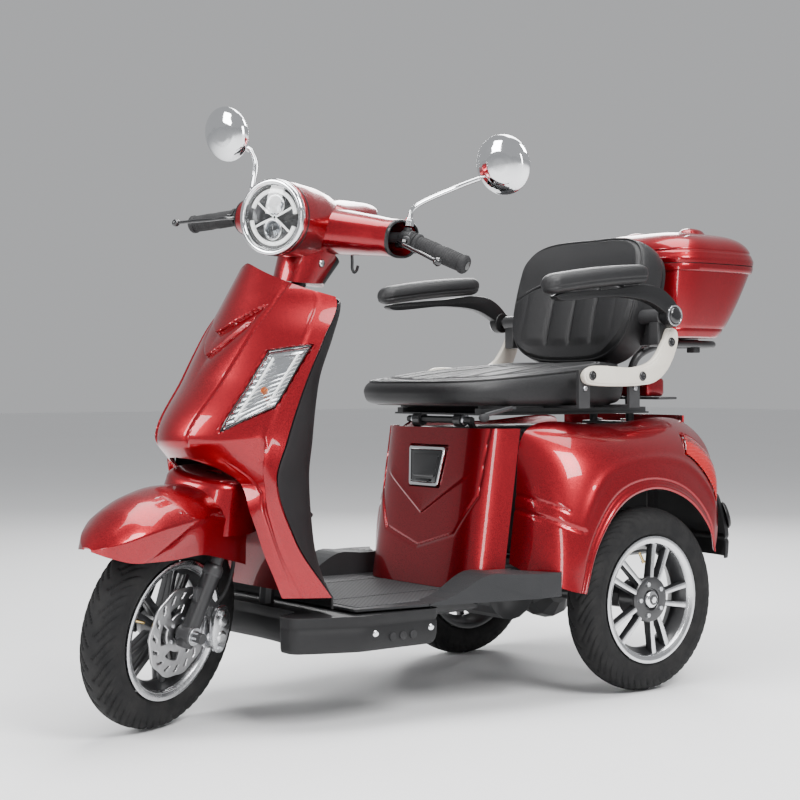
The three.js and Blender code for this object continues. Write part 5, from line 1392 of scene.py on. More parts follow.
def shield_marks(t, z):
    """Depth of the surface details: a groove down each side, two brow lines, and the lamp recesses."""
    half = through(SHIELD_HALF, z)
    x = np.abs(t) * half
    line = np.interp(z, [562, 660, 740, 820, 892], [58, 74, 86, 95, 99])
    alive = ease(z - 556, 30) * ease(902 - z, 24)
    depth = 4.6 * soft_fall(x - line, 2.4) * alive
    depth = depth - 4.0 * ease(x - line - 1, 5) * alive * ease(1 - np.abs(t), 0.2)
    for apex, rise, reach, drop in ((790, 62, 90, 12.0), (742, 84, 80, 10.0)):
        brow = apex + rise * (x / reach) ** 1.35
        below = brow - z
        depth = depth + drop * ease(below + 1.5, 3.2) * np.exp(-np.clip(below, 0, None) / 26) * ease(reach
            + 6 - x, 26)
    fold = 560 + 0.19 * np.clip(x - 58, 0, None)
    under = np.clip((fold - z) / 46, 0, 1) * ease(z - 430, 70) * ease(0.90 - np.abs(t), 0.05)
    depth = depth + 15 * under - 2.6 * soft_fall(np.abs(t) - 0.885, 0.014) * ease(880 - z, 40)
    lens = within(np.abs(t) * 205, z, [(c * 205, h) for c, h in LENS_CORNERS], 3.4)
    depth = np.where(lens > 0.02, mix(depth, 24.0, lens), depth)
    depth = depth + 2.2 * soft_fall(x - np.interp(z, [300, 470, 556], [188, 168, 96]), 2.2) * ease(540 - z,
        12) * ease(z - 290, 20)
    return depth


def shield():
    arch = spline([(0, 539), (60, 531), (132, 470), (168, 330), (181, 255)], 400)
    low_z = np.concatenate([539 - 8 * np.linspace(0, 1, 9) ** 2, np.linspace(528, SHIELD_FOOT, 84)])
    order = np.argsort(arch[:, 1])
    inner = np.interp(low_z, arch[order, 1], arch[order, 0])
    inner[0] = 0
    s = np.linspace(0, 1, 92)
    v = np.linspace(0, 1, 132)
    top = 935 - 73 * s ** 1.5
    upper_t = np.broadcast_to(s, (len(v), len(s)))
    upper_z = mix(top[None, :], 539.0, v[:, None])
    t_in = inner / through(SHIELD_HALF, low_z)
    lower_t = mix(t_in[:, None], 1.0, s[None, :])
    lower_z = np.broadcast_to(low_z[:, None], lower_t.shape)
    t = np.vstack([upper_t, lower_t[1:]])
    z = np.vstack([upper_z, lower_z[1:]])
    t, z = np.hstack([-t[:, ::-1], t]), np.hstack([z[:, ::-1], z])
    grid = shield_point(t, z)
    grid[..., 1] += shield_marks(t, z)
    keep = np.ones((grid.shape[0] - 1, grid.shape[1] - 1), bool)
    keep[:, len(s) - 1] = False
    outer = thicken(grid, PANEL, INSIDE_SHIELD, keep)
    u, w = spread(90, 60)
    z = mix(484.0, SHIELD_FOOT + 3.0, w)
    t = 2 * u - 1
    leg_at = shield_point(np.full_like(z, 0.97), z)
    wall_y = ahead(through([(484, 238), (430, 236), (350, 226), (264, 226)], z))
    grid = xyz(t * (leg_at[..., 0] - 2), mix(wall_y, leg_at[..., 1] + 1, np.abs(t) ** 8), z)
    grid[..., 1] += 2.0 * scored(grid[..., 0], z, [[(-90, 470), (-90, 275)], [(90, 470), (90, 275)]], 4)
    # The wall inside the opening takes the darker copy of the red paint: painted shade.
    wall = thicken(grid, PANEL, (0, ahead(500), 400)).tagged(1)
    build("shield", outer + wall, [RED, RED_PAINTED_SHADE], "frame", angle=40, node="front_shield")


def lens_patch(nu, nv, lift):
    u, v = spread(nu, nv)
    (t0, z0), (t1, z1), (t2, z2), (t3, z3) = LENS_CORNERS
    t = mix(mix(t0 + 0.012, t1 - 0.012, u), mix(t3 + 0.012, t2 - 0.012, u), v)
    z = mix(mix(z0 - 3, z1 - 3, u), mix(z3 + 4, z2 + 4, u), v)
    grid = shield_point(t, z)
    n = facing(grid, INSIDE_SHIELD)
    return grid + n * lift, n, u, v


def turn_signal(side):
    """A bowed clear lens over a ribbed bright bowl with an amber bulb and a row of light strips."""
    name, put = sided(side)
    grid, n, u, v = lens_patch(30, 46, 1.5)
    bow = 3.0 * np.sin(u * np.pi) ** 0.7 * np.sin(v * np.pi) ** 0.5
    lens = thicken(grid + n * bow[..., None], 2.2, INSIDE_SHIELD)
    build(f"signal_lens_{name}", put(lens), CLEAR, "frame", node=f"turn_signal_{name}")
    grid, n, u, v = lens_patch(60, 90, -8.5)
    ribs = 1.3 * np.abs(np.sin(v * np.pi * 13)) + 2.4 * np.maximum(np.abs(2 * u - 1) ** 4,
        np.abs(2 * v - 1) ** 8)
    bowl = thicken(grid + n * ribs[..., None], 1.5, INSIDE_SHIELD)
    build(f"signal_bowl_{name}", put(bowl), REFLECTOR, "frame")
    grid, n, u, v = lens_patch(3, 21, -3.5)
    bulb = grid[1, 12]
    holder = rod(bulb - n[1, 12] * 9, bulb - n[1, 12] * 1, 7.5, 24, 0.8)
    build(f"signal_holder_{name}", put(holder), REFLECTOR, "frame")
    build(f"signal_bulb_{name}", put(ball(bulb, 8, 24)), AMBER, "frame")
    strip = NOTHING
    for column in (0.2, 0.8):
        grid, n, u, v = lens_patch(11, 24, -4)
        line = grid[int(round(column * 10)), 2:22]
        strip += tube(line, 1.8, 10)
    build(f"signal_strip_{name}", put(strip), WARM, "frame")
    grid, n, u, v = lens_patch(24, 36, 1.2)
    border = np.vstack([grid[:, 0], grid[-1, 1:], grid[-2::-1, -1], grid[0, -2:0:-1]])
    away = unit(border - border.mean(axis=0)) * 1.6
    loop = np.vstack([border + away, (border + away)[:2]])
    build(f"signal_frame_{name}", put(tube(loop, 1.5, 10)), GLOSS, "frame")


KNEE = [(905, 372), (862, 366), (783, 338), (690, 304), (575, 294), (499, 291), (264, 291)]


def leg_half(z):
    return through(SHIELD_HALF, z) - 7


def leg_point(x, z):
    """The rider's side runs from its middle to its edge as the fifth power of the way across."""
    across = np.abs(x / leg_half(z))
    return xyz(x, ahead(mix(through(KNEE, z), through(SHIELD_EDGE, z) + 9, across ** 5)), z)


def leg_panel():
    u, w = spread(150, 150)
    t = 2 * u - 1
    z = mix(mix(874.0, 848.0, t ** 2), SHIELD_FOOT - 24.0, w)
    grid = leg_point(t * leg_half(z), z)
    x = grid[..., 0]
    door = [(-95, 790), (95, 790), (82, 640), (-82, 640), (-95, 790)]
    depth = 2.6 * scored(x, z, [door], 2.2) + 2.2 * scored(x, z,
        [[(-120, 560), (-104, 300)], [(120, 560), (104, 300)]], 3)
    grid[..., 1] -= depth - 5 * within(x, z, [(-40, 600), (40, 600), (30, 320), (-30, 320)], 12) * 0.6
    panel = thicken(grid, 3.5, (0, ahead(120), 560))
    build("leg_panel", panel, BLACK, "frame", angle=40, node="leg_shield")
    at = np.array([0.0, ahead(through(KNEE, np.array(735.0))) + 0.5, 735])
    hook = hose([at, at + [0, 14, -2], at + [0, 26, -18], at + [0, 34, -22], at + [0, 40, -8]], 4, 40)
    build("leg_hook", hook + rod(at - [0, 2, 0], at + [0, 4, 0], 12, 28, 1), GLOSS, "frame")
    screws = NOTHING
    for x, z in ((-112, 820), (112, 820), (-128, 420), (128, 420)):
        y = leg_point(x, float(z))[1]
        screws += turned(rounded([(0, 3), (4, 3), (6, 0), (0, 0)], 0.8, 2, False), (x, y + 0.5, z),
            (x, y + 1.5, z), 20)
    build("leg_panel_screws", screws, ZINC, "frame")


# ---------- belly, floor
FLOOR_Z = 234
FLOOR_HALF = 282


def flank(y):
    """Half the width of the belly tub where its side runs nearly straight."""
    return np.interp(y, [ahead(300), ahead(492)], [FLOOR_HALF - 2, FLOOR_HALF])


def belly():
    """The tub under the floor: one rounded outline, drawn in at the foot, with a step along its side."""
    half = [(0, ahead(230)), (150, ahead(230)), (172, ahead(168)), (222, ahead(170)), (252, ahead(230)),
        (FLOOR_HALF - 2, ahead(300)), (FLOOR_HALF, ahead(492)), (205, ahead(504)), (0, ahead(504))]
    whole = np.array(half + [(-x, y) for x, y in half[-2:0:-1]], float)
    outline = rounded(whole, 18, 9)
    step = np.linalg.norm(np.roll(outline, -1, 0) - outline, axis=1)
    pieces = [mix(a, b, np.linspace(0, 1, max(2, int(d / 6)), endpoint=False)[:, None]) for a, b,
        d in zip(outline, np.roll(outline, -1, 0), step)]
    outline = np.vstack(pieces)
    centre = np.array([0, ahead(345)])
    rings = []
    for z, inset in ((FLOOR_Z - 5, 0), (FLOOR_Z - 9, 0), (212, 0), (209, 2.4), (205, 2.4), (202, 0.4),
            (178, 1.4), (166, 4), (159, 9), (156, 16)):
        out = unit(outline - centre)
        ring = outline - out * inset
        rings.append(np.column_stack([ring, np.full(len(ring), float(z))]))
    build("belly_tub", loft(np.array(rings)), BLACK, "frame", angle=40, node="belly_cover")
    screws, holes = NOTHING, NOTHING
    for side in (-1, 1):
        for y, z in ((ahead(330), 192), (ahead(470), 192)):
            x = flank(y) - 0.8
            screws += turned(rounded([(0, 3.4), (5, 3.4), (7.5, 0), (0, 0)], 1, 3, False), (side * x, y, z),
                (side * (x + 1), y, z), 24)
        for y in (ahead(372), ahead(398), ahead(424)):
            x = flank(y) + 0.4
            holes += turned([(0, 0.5), (5, 0.5), (6.5, 1.4), (8, 1.4), (8.6, 0), (8.6, -2), (0, -2)],
                (side * x, y, 182), (side * (x + 1), y, 182), 24)
    build("belly_screws", screws, CHROME, "frame")
    build("belly_grommets", holes, RUBBER, "frame")


def floor_details():
    repaint("floor_pan", GREY)
    deck = NOTHING
    for outline in ([(-236, ahead(316)), (-120, ahead(316)), (-120, ahead(640)), (-206, ahead(640)),
            (-236, ahead(470))], [(-112, ahead(312)), (112, ahead(312)), (112, ahead(640)),
            (-112, ahead(640))], [(120, ahead(316)), (236, ahead(316)), (236, ahead(470)),
            (206, ahead(640)), (120, ahead(640))]):
        deck += plate(rounded(outline, 10, 5), (1, 0, 0), (0, 1, 0), FLOOR_Z + 4.6, FLOOR_Z + 6.4, 0.8,
            (0, 0, 1))
    build("deck_mats", deck, MAT, "frame")
    ribs = NOTHING
    for side in (-1, 1):
        for k in range(5):
            x = side * (236 + 19 * k)
            y0, y1 = ahead(660), ahead(694) + 14 * (4 - k) * 0.5 + 2 * k
            line = rounded([(x, y0 - 24, WING_TOP - 0.8), (x, y1 + 6, WING_TOP - 1.8)], 2, 2, False)
            ribs += tube(np.array([line[0], mix(line[0], line[-1], 0.5), line[-1]]), 3.2, 10, 0.6)
    build("wing_ribs", ribs, GREY, "frame")


# ---------- pedestal and flap
FLAP_Z = 501
PEDESTAL_LEAN = 0.15


def pedestal_point(t, z):
    """The front of the seat pedestal bows forward as the sixth power of t, and leans back with height."""
    return xyz(t * PEDESTAL_HALF, ahead(mix(652.0, 730.0, t ** 6) + (z - WING_TOP) * PEDESTAL_LEAN), z)


def pedestal():
    u, w = spread(170, 130)
    t = 2 * u - 1
    z = mix(float(BODY_TOP), FLOOR_Z + 6.0, w)
    grid = pedestal_point(t, z)
    x = grid[..., 0]
    lines = [[(-176, 588), (-168, 440), (-118, 356), (0, 322), (118, 356), (168, 440), (176, 588)]]
    inner = within(x, z, [(-176, 600), (-168, 440), (-118, 356), (0, 322), (118, 356), (168, 440),
        (176, 600)], 6)
    depth = 3.0 * scored(x, z, lines, 3.0) + 3.5 * inner
    brow = 396 + 0.62 * np.abs(x)
    depth = depth - 4.5 * ease(z - brow + 1, 4) * np.exp(-np.clip(z - brow, 0, None) / 16) * ease(150
        - np.abs(x), 30) * ease(z - 380, 10)
    flap = within(x, z, [(-66, 547), (66, 547), (51, 455), (-51, 455)], 4)
    depth = np.where(flap > 0.02, mix(depth, 16.0, flap), depth)
    grid[..., 1] += depth
    build("pedestal", thicken(grid, PANEL, (0, ahead(1100), 400)), RED, "frame", angle=40,
        node="pedestal_cover")
    y = float(pedestal_point(0.0, float(FLAP_Z))[1])

    def on_front(outline, low, high, bevel):
        part = plate(outline, (1, 0, 0), (0, PEDESTAL_LEAN, 1), low, high, bevel, (0, -1, 0))
        return part.placed(lambda p: p + [0, y, FLAP_Z])

    rim = rounded([(-64, 44), (64, 44), (50, -44), (-50, -44)], 7, 5)
    hole = rounded([(-57, 37), (57, 37), (45, -37), (-45, -37)], 6, 5)
    ring = plate_ring(rim, hole, -3.0, 2.5).placed(lambda p: xyz(p[:, 0],
        y - p[:, 2] + PEDESTAL_LEAN * p[:, 1], FLAP_Z + p[:, 1]))
    build("flap_frame", ring, CHROME, "frame")
    leaf = on_front(rounded([(-56, 36), (56, 36), (44, -36), (-44, -36)], 6, 5), -4.5, 1.6, 1.4)
    raised = on_front(rounded([(-46, 27), (46, 27), (38, -24), (-38, -24)], 8, 5), 1.0, 3.6, 1.6)
    pull = on_front(rounded([(-22, -29), (22, -29), (20, -35), (-20, -35)], 2, 3), 1.0, 8.0, 1.2)
    build("flap_leaf", leaf + raised + pull, GLOSS, "charge_door", node="charge_flap")


def plate_ring(outer, inner, low, high):
    """A flat ring between two outlines with the same number of points."""
    rows = []
    for line, z in ((outer, low), (outer, high - 0.8), (mix(outer, inner, 0.12), high),
            (mix(outer, inner, 0.88), high), (inner, high - 0.8), (inner, low)):
        rows.append(np.column_stack([line, np.full(len(line), float(z))]))
    rows = np.array(rows)
    return Shape(rows, quads(len(rows), len(outer), True, True))


# ---------- rear bodywork
LIP = [hind(LIP_X, -212, 31), hind(LIP_X + 3, -178, 132), hind(LIP_X + 4, -100, 222),
    hind(LIP_X + 5, 0, 248), hind(LIP_X + 4, 110, 215), hind(LIP_X, 184, 146), hind(LIP_X - 4, 206, 93)]
BULGE = [hind(LIP_X, -282, 38), hind(LIP_X + 4, -272, 190), hind(LIP_X - 2, -190, 330),
    hind(LIP_X - 4, -40, 372), hind(LIP_X - 8, 120, 355), hind(LIP_X - 2, 220, 250),
    hind(LIP_X - 4, 224, 140)]
SHOULDER = [(BODY_SIDE + 1, aft(-314), WING_TOP + 8), (BODY_SIDE + 1, aft(-294), 440),
    (BODY_SIDE, aft(-266), BODY_TOP), (BODY_SIDE - 2, aft(-20), BODY_TOP + 4),
    (BODY_SIDE - 8, aft(240), BODY_TOP + 12), (BODY_SIDE + 60, aft(262), AXLE_Z + 330),
    hind(LIP_X - 30, 246, 200)]


def smooth_through(points, t):
    """The curve with its corners eased: an average of it just before and after each place."""
    reach = 0.045
    total, weight = 0, 0
    for k in range(-3, 4):
        w = 1 - abs(k) / 4.2
        near = np.clip(t + k / 3 * reach * np.minimum(1, 8 * t * (1 - t)), 0, 1)
        total = total + curve_at(points, near) * w
        weight += w
    return total / weight


def fender_skin(u, v):
    """u runs on a parabola from the arch lip to the shoulder, v from the front foot to the tail."""
    lip, bulge, top = smooth_through(LIP, v), smooth_through(BULGE, v), smooth_through(SHOULDER, v)
    w = u[..., None]
    return lip * (1 - w) ** 2 + bulge * 2 * w * (1 - w) + top * w ** 2


INSIDE_REAR = (120, aft(-10), AXLE_Z + 200)


def side_panel(side):
    name, put = sided(side)
    u, v = spread(110, 260)
    u = u ** 1.15
    grid = fender_skin(u, v)
    n = facing(grid, INSIDE_REAR)
    raise_by = 4.0 * soft_fall(u - 0.02, 0.02) - 2.6 * soft_fall(u - 0.085, 0.016)
    raise_by = raise_by + 3.0 * soft_fall(u - 0.30 + 0.06 * np.cos(v * np.pi), 0.05) * ease(v - 0.14,
        0.12) * ease(0.92 - v, 0.1)
    front = 0.135 + 0.05 * (1 - u)
    raise_by = raise_by - 3.4 * soft_fall(v - front, 0.0055) * ease(u - 0.16, 0.08)
    raise_by = raise_by - 2.6 * soft_fall(v - front - 0.035, 0.0045) * ease(u - 0.40, 0.08)
    lamp = within(u * 400, v * 1300, [(0.44 * 400, 0.665 * 1300), (0.72 * 400, 0.655 * 1300),
        (0.88 * 400, 0.885 * 1300), (0.44 * 400, 0.885 * 1300)], 5)
    raise_by = mix(raise_by, -9.0, lamp)
    grid = grid + n * raise_by[..., None]
    panel = thicken(grid, PANEL, INSIDE_REAR)
    build(f"body_side_{name}", put(panel), RED, "frame", angle=40, node=f"side_panel_{name}")
    u, v = spread(40, 60)
    uu = mix(0.455, mix(0.705, 0.865, v), u)
    vv = mix(0.67, 0.88, v)
    grid = fender_skin(uu, vv)
    n = facing(grid, INSIDE_REAR)
    bow = 1.5 + 7.0 * np.sin(np.clip(u, 0, 1) * np.pi) ** 0.6 * np.sin(v * np.pi) ** 0.5
    tags = (u[:-1, :-1] > 0.60).astype(int)
    lens = thicken(grid + n * bow[..., None], 2.5, INSIDE_REAR, None, 0.0, tags)
    build(f"tail_lens_{name}", put(lens), [CLEAR_RED, CLEAR], "frame", node=f"tail_lamp_{name}")
    ribs = -5.5 + 0.8 * np.abs(np.sin(v * np.pi * 12))
    bowl = thicken(grid + n * ribs[..., None], 1.2, INSIDE_REAR)
    build(f"tail_bowl_{name}", put(bowl), REFLECTOR, "frame")


def rear_parts():
    u, w = spread(110, 50)
    t = 2 * u - 1
    z = mix(BODY_TOP + 22.0, AXLE_Z + 300.0, w)
    grid = xyz(t * (BODY_SIDE - 12), aft(mix(300.0 + 6 * w, 262.0, np.abs(t) ** 6)), z)
    grid[..., 1] -= 3 * scored(grid[..., 0], z, [[(-150, 588), (150, 588), (128, 540), (-128, 540),
        (-150, 588)]], 2.4)
    grid[..., 1] -= 3 * within(grid[..., 0], z, [(-150, 588), (150, 588), (128, 540), (-128, 540)], 5)
    build("rear_cover", thicken(grid, PANEL, (0, aft(0), 540)), RED, "frame", angle=40,
        node="rear_panel")
    half = LIP_X - 12
    u, w = spread(190, 90)
    angle = mix(-0.46, 0.46, u) * np.pi
    reach = through([(0, 46), (0.35, 80), (0.75, 100), (1, 88)], w)
    soft = lambda value: np.sign(value) * np.abs(value) ** 0.5
    wide = half - 55 * (1 - w) ** 2
    grid = xyz(wide * soft(np.sin(angle)), aft(224 + reach * soft(np.cos(angle))),
        mix(AXLE_Z + 292.0, AXLE_Z + 74.0, w))
    depth = 4 * soft_fall(w - 0.30, 0.02) + 3 * soft_fall(w - 0.80, 0.018)
    n = facing(grid, (0, aft(0), AXLE_Z + 180))
    grid = grid - n * depth[..., None]
    build("bumper_rear", thicken(grid, PANEL, (0, aft(0), AXLE_Z + 180)), BLACK, "frame",
        angle=40, node="rear_bumper")
    k = 49
    boss, red = NOTHING, NOTHING
    for j in (22, 167):
        at, d = grid[j, k], n[j, k]
        boss += turned(rounded([(0, 5), (16, 5), (20, 6.5), (27, 6.5), (32, 2), (33, -2), (0, -2)], 2, 3,
            False), at, at + d, 48)
        at, d = grid[45 if j == 22 else 144, 60], n[45 if j == 22 else 144, 60]
        red += turned(rounded([(0, 4), (17, 4), (20, 0), (0, 0)], 1.5, 3, False), at, at + d, 40)
    build("bumper_bosses", boss, BLACK_FINE, "frame")
    build("rear_reflectors", red, CLEAR_RED, "frame")
    plate_at = np.array([0.0, aft(224 + 96 + 2.0), AXLE_Z + 190])
    number = block(-92, 92, plate_at[1] - 8, plate_at[1] + 3, plate_at[2] - 52, plate_at[2] + 52, 1.2, 8)
    build("rear_plate_holder", number, BLACK_FINE, "frame")


shield()
turn_signal(1)
turn_signal(-1)
leg_panel()
belly()
floor_details()
pedestal()
side_panel(1)
side_panel(-1)
rear_parts()


# ---------- seat
def cushion_point(u, s):
    """The cushion's plan is a soft box whose front bows out; s scales the outline."""
    middle = SEAT_Y0 + SEAT_LENGTH / 2
    a, b = squircle(u, SEAT_HALF * s, SEAT_LENGTH / 2 * s, 4.2)
    bow = 20 * np.cos(np.clip(a / SEAT_HALF, -1, 1) * np.pi / 2) * np.clip(-b / (SEAT_LENGTH / 2), 0, 1) ** 2
    return a, middle + b - bow, b


def seat_crown(x, s):
    """The top of the seat: a dome, a little higher under each thigh and lower along the middle."""
    hollow = 4 * soft_fall(np.abs(x) - 120, 70) - 6 * soft_fall(x, 55)
    return 9.0 * (1 - (s / 0.905) ** 2.2) - 2.2 + hollow * (1 - s ** 2)


def seat_cushion():
    """A closed pad: flat below, full rounded sides, a domed and dipped top with seams."""
    around = 300
    u = np.linspace(0, 1, around, endpoint=False)
    under = [(0.03, 0.0), (0.5, 0.0), (0.86, 0.0)]
    wall = [(0.905, 0.012), (0.945, 0.05), (0.972, 0.13), (0.988, 0.26), (0.996, 0.40), (1.0, 0.52),
        (0.996, 0.64), (0.984, 0.76), (0.962, 0.86), (0.935, 0.925), (0.905, 0.962)]
    top = [(s, 1.0) for s in np.linspace(0.885, 0.012, 84)]
    rows = []
    for s, level in under + list(spline(wall, 34)) + top:
        x, y, b = cushion_point(u, s)
        z = SEAT_BOTTOM + SEAT_DEPTH * level + level * SEAT_RISE * (b / SEAT_LENGTH)
        if level == 1.0:
            ahead_of = (y - (SEAT_Y0 + SEAT_LENGTH / 2)) / (SEAT_LENGTH / 2)
            z = z + seat_crown(x, s)
            seam = 4.4 * soft_fall((s - 0.80) * 240, 3.2) + 0 * x
            edge = 3.0 * soft_fall((s - 0.885) * 240, 3.0) + 0 * x
            fan = np.zeros_like(x)
            spreading = 1 + 0.34 * np.clip(-ahead_of, -0.4, 1)
            for k in range(-4, 5):
                fan = np.maximum(fan, soft_fall(x - k * 38 * spreading, 3.6))
            gate = ease(0.80 - s, 0.03) * ease(0.18 - ahead_of, 0.14)
            cross = soft_fall(ahead_of * 267 - 52 - 14 * np.cos(x / 110), 3.4) * ease(0.80 - s, 0.03)
            puff = 2.2 * np.abs(np.cos(np.pi * x / (38 * spreading))) ** 0.7 * gate
            z = z - np.maximum.reduce([seam, edge, 4.6 * fan * gate, 4.4 * cross]) + puff - 1.0
        rows.append(xyz(x, y, z))
    rings = np.array(rows)
    piece = build("seat_pad", loft(rings), LEATHER, "seat", angle=60, node="seat_cushion")
    u = np.linspace(0, 1, 220, endpoint=False)
    x, y, b = cushion_point(u, 0.948)
    z = SEAT_BOTTOM + SEAT_DEPTH * 0.905 + 0.9 * SEAT_RISE * (b / SEAT_LENGTH)
    line = xyz(x, y, z)
    build("seat_piping", tube(np.vstack([line, line[:2]]), 2.6, 12), LEATHER, "seat")
    stitches("seat_stitches", [stitch_line(0.815), stitch_line(0.785)], "seat", (0, 0, 1))
    x, y, b = cushion_point(u, 0.90)
    base = np.array([xyz(x * k, y, np.full_like(x, z)) for k, z in ((1.0, SEAT_BOTTOM + 6.0),
        (1.0, SEAT_BOTTOM + 1.0), (0.985, SEAT_BOTTOM - 0.6), (0.9, SEAT_BOTTOM - 0.6))])
    build("seat_board", loft(base), BLACK, "seat")


STITCH_PITCH = 6.6


def stitch_line(s):
    u = np.linspace(0, 1, 900)
    x, y, b = cushion_point(u, s)
    z = SEAT_TOP - 6 + SEAT_RISE * (b / SEAT_LENGTH) + seat_crown(x, s)
    return xyz(x, y, z - 1.8)


def stitches(name, lines, body, up):
    """Short raised threads laid end to end along a line: each is a spindle of three five-sided rings."""
    angle = turns(5)
    radius = np.array([0.35, 0.95, 0.35])[:, None]
    across, above = radius * np.cos(angle), radius * 0.9 * np.sin(angle) + [[0], [0.7], [0]]
    threads = []
    for line in lines:
        length = np.concatenate([[0], np.cumsum(np.linalg.norm(np.diff(line, axis=0), axis=1))])
        at = np.arange(2.0, length[-1] - 6, STITCH_PITCH)[:, None] + [0.0, 2.3, 4.6]
        spine = np.stack([np.interp(at, length, line[:, i]) for i in range(3)], -1)
        along = unit(spine[:, 2] - spine[:, 0])
        side = unit(np.cross(along, up))
        rise = np.cross(side, along)
        thread = (spine[:, :, None] + side[:, None, None] * across[..., None]
            + rise[:, None, None] * above[..., None])
        threads.append(thread.reshape(-1, 3))
    points = np.vstack(threads)
    start = 15 * np.arange(len(points) // 15)[:, None]
    walls = (quads(3, 5, wrap_v=True) + start[..., None]).reshape(-1, 4).tolist()
    ends = (start + [4, 3, 2, 1, 0]).tolist() + (start + [10, 11, 12, 13, 14]).tolist()
    build(name, Shape(points, walls + ends), THREAD, body, merge=0.001)


def on_back(x, h, d):
    up = np.array([0.0, math.sin(BACK_LEAN), math.cos(BACK_LEAN)])
    out = np.array([0.0, math.cos(BACK_LEAN), -math.sin(BACK_LEAN)])
    return np.array([0.0, BACK_Y, BACK_Z0]) + xyz(x, 0 * x, 0 * x) + h[..., None] * up + d[..., None] * out


def back_outline(u, s):
    """A soft box, a little narrower towards its foot."""
    a, b = squircle(u, BACK_HALF * s, BACK_HEIGHT / 2 * s, 3.8)
    low = np.clip(-b / (BACK_HEIGHT / 2), 0, 1)
    return a * (1 - 0.05 * low ** 1.5), b - 24 * low ** 2


def seam_height(x):
    """The seam runs level across the middle, steps up on each side and then falls away towards the edge."""
    return through([(0, 15), (52, 16), (80, 32), (130, 20), (206, -16)], np.abs(x))


def back_front(x, b, s):
    """Depth of the padded front: a smooth upper panel, a shaped seam, four upright rolls and fuller sides."""
    arch = seam_height(x)
    lower = ease(arch - b, 5)
    seam = soft_fall(b - arch, 3.0)
    rolls = np.zeros_like(x)
    for k in (-76, 0, 76):
        rolls = np.maximum(rolls, soft_fall(x - k, 3.6))
    inside = lower * ease(b + 132, 24)
    puff = 6.0 * np.abs(np.sin(np.pi * np.clip(x, -152, 152) / 76)) ** 0.8 * inside
    groove = np.maximum(6.0 * seam, 6.0 * rolls * inside)
    bolster = 7.0 * soft_fall(np.abs(x) - 158, 34) * lower
    upper = 5.0 * soft_fall(b - 78, 44) * (1 - lower)
    dome = 9.0 * (1 - s ** 2.4)
    return groove - puff - bolster - upper - dome


def back_wrap(x, depth):
    """How far the front of the pad curls forward towards its sides."""
    return BACK_CURL * (x / BACK_HALF) ** 2 * (1 - np.clip(depth / 72, 0, 1))


def backrest():
    around = 280
    u = np.linspace(0, 1, around, endpoint=False)
    rows = []
    for s in np.linspace(0.012, 0.93, 84):
        a, b = back_outline(u, s)
        d = back_front(a, b, s) + 7.5
        rows.append((a, b, d, s))
    for s, d0 in spline([(0.945, 9.5), (0.975, 14), (0.993, 24), (1.0, 38), (0.994, 54), (0.975, 66),
            (0.95, 70)], 26):
        a, b = back_outline(u, s)
        rows.append((a, b, np.full_like(a, d0), s))
    for s in (0.8, 0.5, 0.2, 0.02):
        a, b = back_outline(u, s)
        rows.append((a, b, np.full_like(a, 70.6), s))
    rings = []
    for a, b, d, s in rows:
        rings.append(on_back(a, BACK_HEIGHT / 2 + b, d - back_wrap(a, d)))
    piece = build("back_pad", loft(np.array(rings)), LEATHER, "seat", angle=60,
        node="backrest_pad")
    u = np.linspace(0, 1, 240, endpoint=False)
    a, b = back_outline(u, 0.972)
    line = on_back(a, BACK_HEIGHT / 2 + b, 12.0 - back_wrap(a, 12.0))
    build("back_piping", tube(np.vstack([line, line[:2]]), 2.6, 12), LEATHER, "seat")
    x = np.linspace(-172, 172, 500)
    b = seam_height(x) + 7.5
    s = np.clip(np.hypot(x / BACK_HALF, b / (BACK_HEIGHT / 2)), 0, 1)
    d = back_front(x, b, s) + 7.0
    seam = on_back(x, BACK_HEIGHT / 2 + b, d - back_wrap(x, d))
    stitches("back_stitches", [seam], "seat", (0, -1, 0))
    # the shell behind: a shallow tray with a raised panel, and the lugs that carry the arms
    w, u = spread(60, 200)
    u = u * 199 / 200
    s = np.interp(w, [0, 0.12, 0.2, 1.0], [0.93, 0.972, 0.965, 0.015])
    d = np.interp(w, [0, 0.12, 0.2, 0.3, 1.0], [71.5, 76, 84, 90, 93.5])
    a, b = squircle(u, (BACK_HALF - 4) * s, (BACK_HEIGHT / 2 - 4) * s, 3.8)
    d = d - 3.0 * scored(a, b, [[(-120, 80), (120, 80), (96, -84), (-96, -84), (-120, 80)]], 3)
    front = np.array([on_back(*[v[None] for v in (a[0] * 0.02, BACK_HEIGHT / 2 + b[0] * 0.02,
        np.full(200, 71.5))])])[0]
    rings = np.vstack([front, on_back(a, BACK_HEIGHT / 2 + b, d)])
    shell = loft(rings)
    lugs = NOTHING
    for side in (-1, 1):
        wing = rod((side * 170, PIVOT_Y, PIVOT_Z), (side * 268, PIVOT_Y, PIVOT_Z), 17, 40, 2)
        pin = rod((side * 260, PIVOT_Y, PIVOT_Z), (side * 306, PIVOT_Y, PIVOT_Z), 9, 28)
        foot = block(min(side * 232, side * 266), max(side * 232, side * 266), PIVOT_Y - 10, PIVOT_Y + 34,
            PIVOT_Z - 66, PIVOT_Z - 8, 2, 6)
        web = block(min(side * 150, side * 266), max(side * 150, side * 266), PIVOT_Y + 12, PIVOT_Y + 34,
            PIVOT_Z - 66, PIVOT_Z - 8, 2, 6)
        lugs += wing + pin + foot + web
    build("back_shell", shell, BLACK, "seat", angle=40, node="backrest_shell")
    build("back_lugs", lugs, COATED, "seat")


